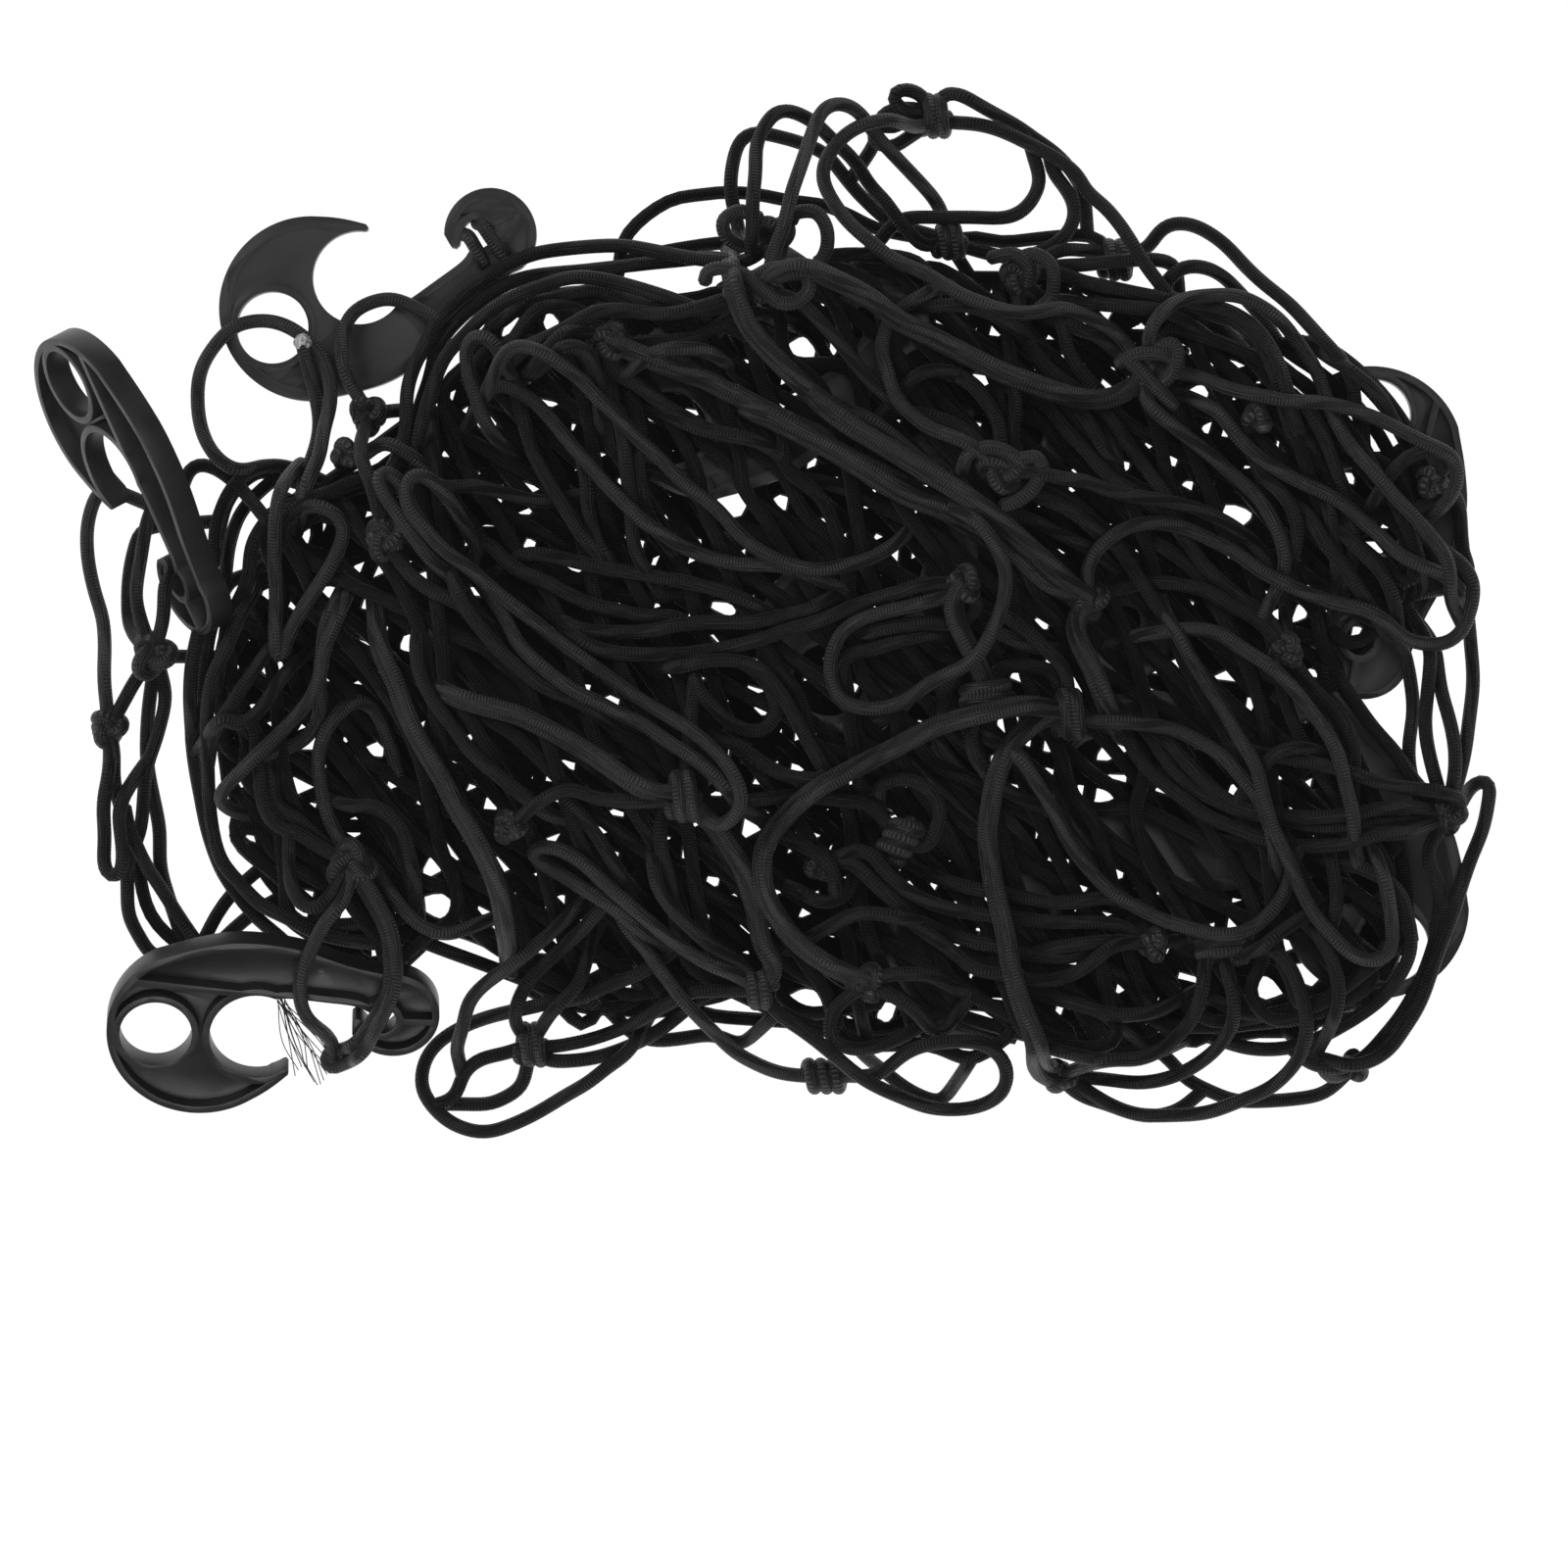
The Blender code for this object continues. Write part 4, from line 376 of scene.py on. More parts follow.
5 s 68.6,-27 73,-18 81,-18 90,-19 95.2,-32.7
7 s -8,-60 2,-59 10,-58 18,-59 27,-60 33,-61 42,-72
8 s 116,-8 124,-7 132,-6 141,-7 148,-12 156,-17 163,-23 169,-30 175,-38 179,-47 181,-56 183,-63
   184,-74
6 s 163,-13 171,-24 178,-31 183,-39 184,-48 184,-58
9 s 126,-2 130,-10 136,-20 143,-31 148,-41 153,-49 155,-58 158,-68 163,-78 167,-87 171,-95
   177,-102 183,-108 189,-110 195,-108 196,-101 195,-94 194,-88 192,-80
8 s 95.2,-32.7 101,-35 110,-35 118,-36 127,-37 135,-41 142,-45 148,-52 154,-59 158,-70 160,-80
7 s 107,-34 112,-37 116,-45 123,-53 131,-59 139,-65 149,-69 160,-73 171,-74 183,-73 191,-70
   200,-70 214,-65
6 s 114,-34 120,-38 125,-46 133,-55 142,-60 152,-64 163,-66 174,-68 185,-68 196,-67 214,-65
6 s 121,-36 126,-41 133,-49 141,-57 149,-62 160,-64 171,-65 183,-64 194,-62 205,-62 214,-65
7 S 214,-65 218,-62 222,-56 226,-53 229,-54 228,-59 226,-68 222,-77 218,-88 215,-97 211,-107
   208,-116 205,-124 200,-132 196,-138 189,-142 183,-143 176,-141
5 S 222,12 220,7 222,-6 223,-21 221,-35 219,-46 214,-65
5 s 209,-8 211,-12 212,-24 215,-37 216,-48 214,-65
6 s 206,-6 209,-12 208,-24 207,-37 209,-50 214,-65
5 s 198,-6 201,-12 203,-21 204,-31 202,-43 203,-53 207,-62
5 s 182,-24 186,-30 191,-37 198,-45 203,-53 214,-65
6 s 152,-44 160,-46 171,-48 183,-51 191,-54 202,-56 212,-57 220,-60
6 s 152,-53 156,-48 159,-45 165,-43 172,-44
5 s 176,-78 184,-80 191,-83 198,-88 201,-97 202,-105 200,-112 195,-120 188,-126 180,-131 173,-135
   163,-138 152,-138 142,-135
6 s 214,-65 207,-77 211,-85 212,-95 210,-105 206,-116 200,-127 194,-135 188,-141 180,-144 172,-143
8 s 72,-42 79,-46 85,-55 89,-61 93,-69 97,-76 103,-83 109,-89 118,-94 124,-97 134,-100 144,-102
   152,-100 157,-96 163,-88 165,-80
7 S 144,-105.7 138,-109 137,-118 135,-126 131,-132 124,-138 116,-141 106,-141 93,-147
6 s 144,-105.7 144,-109 146,-118 147,-127 144,-135 137,-142 128,-147 118,-149 107,-148 93,-147
6 S 144,-105.7 158,-106 164,-112 167,-120 169,-129 168,-137 165,-143 158,-150 149,-154 139,-158
   128,-159 117,-159 107,-155 101,-151 93,-147
5 s 130,-144 133,-148 141,-152 149,-155 160,-155 171,-154 178,-152 186,-144
5 s 168,-136 174,-140 175,-144 179,-148 186,-144
4 s 144,-124 150,-127 162,-127 171,-127 180,-124 188,-122
6 s 170,-99 174,-103 177,-110 179,-118 178,-126 176,-133
6 s 144,-105.7 152,-108 158,-103 165,-98 169,-96 176,-92
5 s 122,-105 120,-101 114,-96
6 S 122,-105 129,-104 144,-105.7
6 s 174,-70 177,-77 178,-84 179,-90 178,-96 176,-103
6 s 31.6,-116.8 39,-114 46,-114 51,-114 58,-118
6 s 31.6,-116.8 25,-122 22,-124 20,-129 20,-134 24,-137 30,-138 36,-137 43,-134 48,-131 55,-127
6 s 31.6,-116.8 40,-121 45,-124 50,-129 53,-133 56,-132 60,-127
7 S 19,-147 35,-146 40,-142 45,-138 51,-136 60,-135 68,-136 74,-140 76,-145 75,-151 70,-155
   63,-157 56,-157 50,-156 43,-153 36,-150 29,-146 22,-140 16,-135 9,-130 4,-127 -1.6,-119.5
5 s 33,-142 38,-146 43,-150 48,-153 56,-156
9 s -34,-104 -36,-103 -42,-98 -48,-93 -56,-88 -64,-83 -71,-79 -74,-75 -68,-74 -62,-76 -56,-80
   -50,-86 -43,-92 -36,-98 -30,-103 -23,-108 -16,-112 -10,-114 -1.6,-119.5
8 s -47,-92 -44,-99 -38,-106 -33,-113 -28,-120 -22,-127 -16,-133 -10,-139 -3,-143 4,-146 12,-147
   19,-147
5 s -42,-134 -35,-136 -25,-135 -16,-134 -8,-138
6 S -40,-134 -44,-140 -50,-144 -56,-149 -63,-153 -71,-158 -79,-162 -88,-165 -95,-164 -101,-161
   -106,-156 -109,-151 -109,-146 -107,-140 -102,-135 -97,-132 -90,-129 -83,-127 -74,-125 -66,-123
   -58,-122 -50,-118 -41,-115 -33,-110
5 s -74.3,-137 -77,-150 -81,-153 -87,-156 -95,-156 -103,-156
6 s -104,-156 -98,-154 -97,-149 -94,-144 -89,-141 -83,-140 -74.3,-137
6 S -74.3,-137 -70,-138 -63,-137 -54,-135 -46,-132 -39,-129 -33,-125 -27,-122 -23,-120 -1.6,-119.5
5 s -74.3,-137 -70,-142 -61,-142 -53,-141 -44,-138 -36,-134 -30,-130 -23,-124
8 s -50,-84 -57,-90 -61,-95 -67,-101 -73,-106 -79,-111 -85,-115 -90,-119 -94,-124 -95,-130
   -98,-138
7 s -46,-88 -53,-95 -58,-101 -64,-106 -70,-112 -75,-117 -78,-123 -80,-130
6 s -25.6,-58.4 -32,-63 -33,-69 -32,-78 -30,-85 -29,-91 -28,-99
6 s -36,-72 -35,-79 -34,-86 -30,-93 -25,-98 -20,-103 -13,-108 -8,-111 -1.6,-119.5
8 p -25.6,-58.4 -15,-69 -11,-75 -7,-81 -5,-88 -3,-94 -2,-101 0,-107 4,-112
7 s -58,-64 -54,-69 -50,-75 -46,-82 -43,-86 -38,-92
6 s -54,-102 -56,-108 -57,-113 -59,-118 -62,-121 -68,-127
7 S 42,-72 44,-79 51,-83 60,-86 68,-88 76,-89 85,-91 93,-92 101,-91 108,-90 116,-93
6 S 17,-80 31,-75 38,-83 46,-89 55,-93 64,-95 72,-96 81,-97 91,-98 101,-98 111,-99 122,-105
6 s 17,-80 27,-79 33,-85 40,-91 46,-98 53,-103 60,-108 66,-113 75,-114 83,-116 91,-116 99,-113
   104,-109 107,-106 114,-104
5 s 58,-102 65,-104 75,-106 81,-108 90,-109 96,-109 102,-107 110,-105
5 s 90,-106 97,-105 105,-104 114,-104 122,-105
5 s 75,-118 83,-120 91,-122 99,-124 108,-127 116,-127 123,-126 132,-122
5 s 84,-134 88,-137 96,-139 104,-141 113,-141 123,-139 131,-136
5 S 93,-147 99,-153 108,-156 116,-159 123,-160 131,-158
6 s 12,-104 17,-101 22,-98 28,-95 35,-95 41,-96 49,-98
6 s 4,-86 11,-88 15,-91 21,-92 26,-89 27,-87 28,-80
6 s 2,-70 12,-74 17,-77 21,-81 22,-86 22,-94
5.5 s -160,45 -166,41 -171,34 -173,24 -175,12 -178,-4 -181,-18 -182,-34
5 s -155,43 -166,32 -170,20 -171,7 -175,-6 -177,-19 -178,-34
5 s -158,28 -162,20 -163,10 -168,-1 -171,-13 -173,-26
3 s 170,86 180,79 189,71 197,62 203,52 207,42
3 s 168,80 177,73 186,65 193,56 198,46 201,36
3 s 164,76 173,69 181,61 188,52 193,42 196,32
3.5 s 176,84 186,76 195,67 202,57 207,47 210,38
"""
print("The table of rows has", len(ROUTES.split("\n")), "lines")

# %% The heap's hidden part
# The outline that the hidden runs fill
HEAP = """-172,-5 -166,8 -160,30 -148,40 -128,42 -116,54 -104,66 -96,84 -80,100 -50,104 -20,104 0,106
20,112 50,112 70,104 90,105 115,105 126,94 140,93 158,86 172,74 182,62 196,50 209,33 212,10 206,0
196,-8 184,-20 184,-45 196,-60 203,-72 207,-85 204,-104 195,-122 182,-133 150,-133 130,-140 110,-143
90,-140 77,-133 60,-128 45,-128 35,-140 20,-136 10,-126 0,-122 -20,-123 -40,-131 -60,-133 -68,-126
-84,-118 -86,-104 -100,-100 -116,-108 -120,-122 -130,-126 -140,-116 -146,-104 -156,-94 -168,-76
-173,-50"""

# Families of hidden runs: depth, layer, heading, distance between runs, waviness, start of the wave, and its
# shift from run to run. The bottom ones lie flat on the surface, and the dim ones over the buried hooks.
HIDDEN = [
    ("bottom", 0.5, -14.0, 6.4, 6.0, 5, 2.3),
    ("bottom", 0.5, 72.0, 6.4, 6.0, 6, 1.9),
    ("inner", 1, 24.0, 10.0, 4.0, 1, 0.35),
    ("inner", 2, -48.0, 10.0, 4.0, 2, 0.35),
    ("dim", 3.4, -38.0, 12.0, 6.0, 8, 1.1),
    ("dim", 4.2, -68.0, 15.0, 7.0, 9, 1.7),
]

# Clear places seen through the heap: x, y, radius
CLEAR = [
    (-165, 31, 3), (-158, 7, 3), (-168, -5, 2), (-146, 23, 3), (-137, 6, 3), (-134, 53, 3),
    (-120, 47, 3), (-113, -10, 4), (-168, -41, 3), (-163, -72, 2), (-123, -44, 3), (-106, -82, 4),
    (-103, -93, 5), (-124, -107, 3), (-139, -125, 3), (-32, 104, 4), (-22, 104, 4), (-52, 96, 3),
    (-68, 92, 5), (-80, 90, 5), (-75, 74, 2), (-101, 68, 2), (-75, 21, 3), (-28, 71, 3),
    (-10, 34, 5), (-14, 32, 4), (-13, 99, 2), (11, 83, 5), (56, 97, 2), (20, 104, 2),
    (67, 71, 4), (137, 69, 4), (139, 58, 2), (113, 46, 3), (149, 30, 5), (163, -1, 3),
    (169, -2, 3), (206, 42, 3), (5, 33, 2), (-13, 1, 3), (55, -46, 2), (88, -4, 3),
    (100, -56, 2), (109, -59, 2), (165, -106, 3), (172, -115, 5), (158, -119, 5), (112, -120, 2),
    (128, -140, 3), (195, -52, 3), (199, -30, 6), (199, -18, 5), (199, -42, 5), (-45, -118, 3),
    (-89, -126, 3), (-26, -130, 3), (14, -122, 4), (38, -127, 4),
]
# Places where a buried hook shows, which the dim cords leave free: x, y, radius
SHOWN = CLEAR + [
    (107, -50.6, 12), (-92, -19, 7), (-82, -27, 7), (64, -134, 6), (0, 40, 6), (12, 47, 5),
    (189, -13, 9), (84, 53, 6), (205, -92, 10), (20, -37, 6), (34, -36, 6), (-40, 52, 6),
]
print("Clear places:", len(CLEAR), "and places where a hook shows:", len(SHOWN) - len(CLEAR))

# %% [markdown]
# ## From a row of points to a cord's path
#
# A cord has no corners, so a smooth curve runs through each row's points and is read off at even steps. A
# Bezier curve object would give the same line, but here the heights have to be worked out point by point, so
# the path stays a plain table of points.

# %% Reading the rows
def read_points(text):
    """Points from words such as -12,40."""
    return np.array([[float(number) for number in word.split(",")] for word in text.split()])


def read_routes(table):
    """Rows of layer, kind and points; an indented line carries its row on."""
    rows = []
    for line in table.strip().replace("\n   ", " ").split("\n"):
        layer, kind, points = line.split(" ", 2)
        rows.append((float(layer), kind, read_points(points)))
    return rows


print("Rows of cord:", len(read_routes(ROUTES)))

# %% Smoothing a row
SAMPLE = 2.0                # step along a cord


def even_steps(line, step):
    """The same line with its points a step apart."""
    length = np.concatenate([[0], np.cumsum(np.linalg.norm(np.diff(line, axis=0), axis=1))])
    count = max(4, int(round(length[-1] / step)))
    at = np.linspace(0, length[-1], count + 1)
    return np.column_stack([np.interp(at, length, line[:, axis]) for axis in range(line.shape[1])])


def smooth_route(points, step=SAMPLE):
    """A smooth curve through the points, read off at even steps."""
    ends = np.vstack([2 * points[0] - points[1], points, 2 * points[-1] - points[-2]])
    t = np.linspace(0, 1, 12, endpoint=False)[:, None]
    pieces = []
    for a, b, c, d in zip(ends, ends[1:], ends[2:], ends[3:]):
        pieces.append(0.5 * (2 * b + (c - a) * t + (2 * a - 5 * b + 4 * c - d) * t ** 2
                             + (3 * b - a - 3 * c + d) * t ** 3))
    pieces.append(points[-1:])
    return even_steps(np.vstack(pieces), step)


print("A row such as -12,40 -6,31 becomes", len(smooth_route(read_points("-12,40 -6,31 4,28"))), "points")

# %% Sideways, and inside an outline
def directions(line):
    """Unit vectors along the line, at each point."""
    ahead = np.gradient(line, axis=0)
    return ahead / np.maximum(np.linalg.norm(ahead, axis=1), 0.01)[:, None]


def leftward(ahead):
    """The same vectors, turned a quarter to the left."""
    return np.column_stack([-ahead[:, 1], ahead[:, 0]])


def beside(line, offset):
    """The line moved sideways, to its left."""
    moved = line.copy()
    moved[:, :2] += np.reshape(offset, (-1, 1)) * leftward(directions(line[:, :2]))
    return moved


def inside(outline, x, y):
    """True where a point lies in the outline."""
    x1, y1 = outline[:, 0], outline[:, 1]
    x2, y2 = np.roll(x1, -1), np.roll(y1, -1)
    spans = (y1 > y) != (y2 > y)
    run = np.where(spans, (x2 - x1) * (y - y1) / np.where(y2 == y1, 1, y2 - y1) + x1, np.inf)
    return np.count_nonzero(spans & (x < run)) % 2 == 1


print("The heap's middle is inside its outline:", inside(read_points(HEAP), 0, 0))

# %% [markdown]
# ## The cords nobody sees
#
# Most of the net is inside the heap, and only its darkness and the small white gaps show. Wavy runs that
# cross at a slant fill the outline at three depths. They are led round the places where the ground shows
# through.

# %% Hidden cords
INNER_STEP = 12.0           # distance between the points of a hidden run
INNER_SPAN = 300            # half the length of a run before it is cut to the outline
WAVE_SHORT = 23             # the two wave lengths of a hidden run
WAVE_LONG = 61
WAVE_DRIFT = 0.2            # how far the long wave moves on from run to run
CLEAR_MARGIN = 3.6          # from a clear place's edge to the middle of a cord led round it
CLEAR_TAPER = 0.8           # how fast a clear place narrows to its two ends
TURN_BACK = 6               # runs that two hidden cords share by turns, every other one each


def pushed_clear(line, places):
    """The line led sideways round the clear places."""
    ahead = directions(line)
    side = leftward(ahead)
    moved = line.copy()
    for x, y, radius in places:
        away = moved - (x, y)
        across = (away * side).sum(axis=1)
        room = radius + CLEAR_MARGIN - CLEAR_TAPER * np.abs((away * ahead).sum(axis=1))
        short = np.maximum(room - np.abs(across), 0) * np.where(across < 0, -1, 1)
        moved += short[:, None] * side
    return moved


def hidden_strands(heading, spacing, wave, start, shift, places):
    """Cords in wavy runs to and fro across the heap, led round the places."""
    outline = read_points(HEAP)
    angle = math.radians(heading)
    along = np.array([math.cos(angle), math.sin(angle)])
    across = np.array([-along[1], along[0]])
    reach = outline @ across
    runs = []
    for row, offset in enumerate(np.arange(reach.min() + spacing, reach.max() - spacing / 2, spacing)):
        span = np.arange(-INNER_SPAN, INNER_SPAN, INNER_STEP)
        sway = np.sin(span / WAVE_SHORT + row * shift + start) * np.cos(span / WAVE_LONG + row * WAVE_DRIFT)
        wavy = offset + wave * sway
        line = span[:, None] * along + wavy[:, None] * across
        kept = np.array([inside(outline, x, y) for x, y in line])
        edges = np.flatnonzero(np.diff(np.concatenate([[0], kept.astype(int), [0]])))
        parts = [line[a:b] for a, b in zip(edges[::2], edges[1::2]) if b - a > 3]
        if parts:
            runs.append(max(parts, key=len))
    strands = []
    for first in range(0, len(runs), TURN_BACK):
        for chosen in (runs[first:first + TURN_BACK:2], runs[first + 1:first + TURN_BACK:2]):
            if chosen:
                to_and_fro = [run[::-1] if index % 2 else run for index, run in enumerate(chosen)]
                strands.append(pushed_clear(smooth_route(np.vstack(to_and_fro), SAMPLE * 1.5), places))
    return strands


print("The first family makes", len(hidden_strands(*HIDDEN[0][2:], CLEAR)), "cords")

# %% [markdown]
# ## Laying a cord
#
# A height field remembers how high the heap already is. A new cord asks it what height it needs at each
# point, and then a limit on slope and roundness turns those needs into a path that a springy cord can
# follow. A rope simulation would also lay them, but it would move the cords off the places where they were
# seen.

# %% The height field
CELL = 1.0                  # step of the height field
FIELD_X = 250               # the field reaches this far each way
FIELD_Y = 185


class Pile:
    """The lowest height at which a cord's middle may lie, over the whole field."""

    def __init__(self):
        shape = (int(2 * FIELD_X / CELL) + 1, int(2 * FIELD_Y / CELL) + 1)
        self.low = np.full(shape, CORD_RADIUS)
        self.hooks = np.full(shape, CORD_RADIUS)
        self.laid = []

    def cells(self, points):
        column = np.clip(np.rint((points[:, 0] + FIELD_X) / CELL).astype(int), 0, self.low.shape[0] - 1)
        row = np.clip(np.rint((points[:, 1] + FIELD_Y) / CELL).astype(int), 0, self.low.shape[1] - 1)
        return column, row

    def under(self, points, field=None):
        """The height needed at each point."""
        return (self.low if field is None else field)[self.cells(points)]

    def cover(self, field, points, reach):
        """Raise the field over spheres of this reach."""
        span = int(math.ceil(reach / CELL))
        column, row = self.cells(points)
        for i in range(-span, span + 1):
            for j in range(-span, span + 1):
                c = np.clip(column + i, 0, field.shape[0] - 1)
                r = np.clip(row + j, 0, field.shape[1] - 1)
                square = (c * CELL - FIELD_X - points[:, 0]) ** 2 + (r * CELL - FIELD_Y - points[:, 1]) ** 2
                near = square < reach ** 2
                height = points[near, 2] + np.sqrt(reach ** 2 - square[near])
                np.maximum.at(field, (c[near], r[near]), height)


pile = Pile()
print("The field has", pile.low.size, "cells")

# %% Draping
SLOPE = 0.6                 # steepest rise of a cord over what it crosses
CREST = 0.035               # roundness of a cord where it passes over, per millimetre
DRAPE_REACH = 90.0          # how far a crest can lift a cord
DRAPE_WIDTH = 4.0           # rounding of a cord's rise and fall


def draped(need, step):
    """A cord's heights over what it needs: it bends over crests and never rises steeply."""
    knee = SLOPE / (2 * CREST)
    top = need.copy()
    for shift in range(1, min(int(DRAPE_REACH / step), len(need))):
        away = shift * step
        drop = CREST * away ** 2 if away < knee else SLOPE * away - CREST * knee ** 2
        top[shift:] = np.maximum(top[shift:], need[:-shift] - drop)
        top[:-shift] = np.maximum(top[:-shift], need[shift:] - drop)
    span = int(3 * DRAPE_WIDTH / step)
    taps = np.arange(-span, span + 1) * step
    weight = np.exp(-0.5 * (taps / DRAPE_WIDTH) ** 2)
    padded = np.pad(top, len(taps) // 2, mode="edge")
    soft = np.convolve(padded, weight / weight.sum(), mode="valid")
    return np.maximum(top, soft)


print("Down from a crest of 10 mm:", draped(10.0 * (np.arange(21) == 10), SAMPLE).round(1)[10:16])

# %% [markdown]
# A cord rarely just stops. It runs into a knot, or its end slips under its neighbours. Only the one cut end
# that shows, with its melted tip, stays free.

# %% Where an end goes
FREE_END = (-146, 84)
KNOT_REACH = 10.0           # a row that ends this near a knot runs into it
TUCK_REACH = 26.0           # a loose end dives to a lower cord within this distance
TUCK_AHEAD = 7.0            # a loose end looks for its cord this far ahead
LOOK_BACK = 4               # points back from an end to the one that gives the end's direction
KNOT_BRIDGE = 4             # points from an end to its knot
TUCK_BRIDGE = 8             # and from an end to the cord that it dives to


def tuck_target(point):
    """The nearest place on a laid cord to which a loose end can dive."""
    best = None
    for laid in pile.laid:
        distance = np.linalg.norm(laid[:, :2] - point, axis=1)
        open_above = laid[:, 2] + 0.1 >= pile.under(laid, pile.hooks)
        distance = np.where(open_above, distance, np.inf)
        index = int(np.argmin(distance))
        if distance[index] < TUCK_REACH and (best is None or distance[index] < best[0]):
            best = (distance[index], *laid[index])
    return None if best is None else best[1:]


def joined_ends(line, knots):
    """The line led on to its knots or tucks, and the height of each such end."""
    pins = {}
    for end in (0, -1):
        nearest = min(knots, key=lambda knot: math.dist(knot[:2], line[end]), default=None)
        if nearest is not None and math.dist(nearest[:2], line[end]) < KNOT_REACH:
            target, points = nearest, KNOT_BRIDGE
        elif math.dist(line[end], FREE_END) < 1:
            continue
        else:
            ahead = line[end] - line[LOOK_BACK if end == 0 else -1 - LOOK_BACK]
            target = tuck_target(line[end] + TUCK_AHEAD * ahead / np.linalg.norm(ahead))
            points = TUCK_BRIDGE
        if target is not None:
            pins[end] = target[2]
            bridge = np.linspace(line[end], target[:2], points)[1:]
            line = np.vstack([line, bridge]) if end else np.vstack([bridge[::-1], line])
    return line, pins


print("The free end is at", FREE_END)

# %% Laying one cord
SOFTENINGS = 4              # times that a line's corners are eased
PAIR_PITCH = 5.4            # two cords that run side by side, as the pile sees them
TUCK_LENGTH = 16.0          # length over which an end comes down to what it is joined to
LOOP_LENGTH = 18.0          # a cord rises over itself where it comes back after this length
TUCK_SHARE = 0.8            # part of the tuck in which a cord may lie at any height
SELF_ROUNDS = 3             # times that a cord is raised over itself


def softened(line):
    """The line with its corners eased; its ends stay."""
    soft = line.copy()
    for _ in range(SOFTENINGS):
        soft[1:-1] = (soft[:-2] + 2 * soft[1:-1] + soft[2:]) / 4
    return soft


def ease(value):
    """A soft step from 0 to 1."""
    value = np.clip(value, 0, 1)
    return value * value * (3 - 2 * value)


def lay_strand(line, knots=(), paired=False):
    """Give the cord its heights and add it to the pile."""
    step = float(np.linalg.norm(line[1] - line[0]))
    line, pins = joined_ends(line, knots)
    line = even_steps(softened(line), step)
    lanes = [beside(line, PAIR_PITCH / 2), beside(line, -PAIR_PITCH / 2)] if paired else [line]
    need = np.max([pile.under(lane) for lane in lanes], axis=0)
    along = np.arange(len(line)) * step
    from_end = {0: along, -1: along[-1] - along}
    for end in pins:
        need = np.where(from_end[end] < TUCK_LENGTH * TUCK_SHARE, CORD_RADIUS, need)
    flat = np.linalg.norm(line[:, None] - line[None], axis=2)
    reach = 2 * CORD_RADIUS + CORD_GAP + (PAIR_PITCH / 2 if paired else 0)
    earlier = (along[:, None] - along[None] > LOOP_LENGTH) & (flat < reach)
    lift = np.sqrt(np.maximum(reach ** 2 - flat ** 2, 0))
    height = draped(need, step)
    for _ in range(SELF_ROUNDS):
        over = np.where(earlier, height[None] + lift, 0).max(axis=1)
        height = draped(np.maximum(need, over), step)
    for end, level in pins.items():
        share = ease(from_end[end] / TUCK_LENGTH)
        height = share * height + (1 - share) * level
    height = np.max([height] + [pile.under(lane, pile.hooks) for lane in lanes], axis=0)
    for lane in lanes:
        pile.cover(pile.low, np.column_stack([lane, height]), 2 * CORD_RADIUS + CORD_GAP)
    laid = np.column_stack([line, height])
    pile.laid.append(laid)
    return laid


print("The pile sees a pair as", PAIR_PITCH + 2 * CORD_RADIUS, "mm wide")

# %% Laying flat cords and knots
SPINE_POINTS = 7            # points along a knot's length


def lay_bottom(line):
    """A cord flat on the surface, over nothing but the hooks that lie there."""
    step = float(np.linalg.norm(line[1] - line[0]))
    line = even_steps(softened(line), step)
    return np.column_stack([line, draped(pile.under(line, pile.hooks), step)])


def lay_knot(knot):
    """A knot sits on what is under it; gives back its middle."""
    x, y, heading, length, radius, _ = knot
    angle = math.radians(heading)
    along = np.linspace(-length / 2, length / 2, SPINE_POINTS)
    spine = np.column_stack([x + along * math.cos(angle), y + along * math.sin(angle)])
    height = float(pile.under(spine).max()) + (radius - CORD_RADIUS)
    ball = np.column_stack([spine, np.full(SPINE_POINTS, height)])
    pile.cover(pile.low, ball, radius + CORD_RADIUS + CORD_GAP)
    return x, y, height


print("Cords on the pile so far:", len(pile.laid))

# %% [markdown]
# ## The hook's outline
#
# The hook is one flat moulding: a round head with a hole, a mouth that opens beside the long arm, and a small
# curl at the arm's end that holds the cord. Its edge is arcs joined by a few eased points.

# %% Hook outline
# Points are u along the hook from its head's middle and v across it; a circle is u, v and its radius
HEAD_RADIUS = 29.2
HOLE = (-13.7, -0.8, 11.4)
MOUTH = (17.7, 3.3, 14.8)
CURL = (61.3, 0.0, 14.6)
SLOT = (57.4, 1.5, 4.7)
ARC_STEP = 1.6              # distance between the points of an arc


def arc(centre_u, centre_v, radius, start, end):
    """Points on an arc, angles in degrees."""
    count = max(3, int(abs(math.radians(end - start)) * radius / ARC_STEP))
    angles = np.radians(np.linspace(start, end, count))
    return [(centre_u + radius * math.cos(a), centre_v + radius * math.sin(a)) for a in angles]


def eased(points, step=ARC_STEP):
    """A smooth open curve through a few points."""
    return [tuple(point) for point in smooth_route(np.array(points, float), step)]


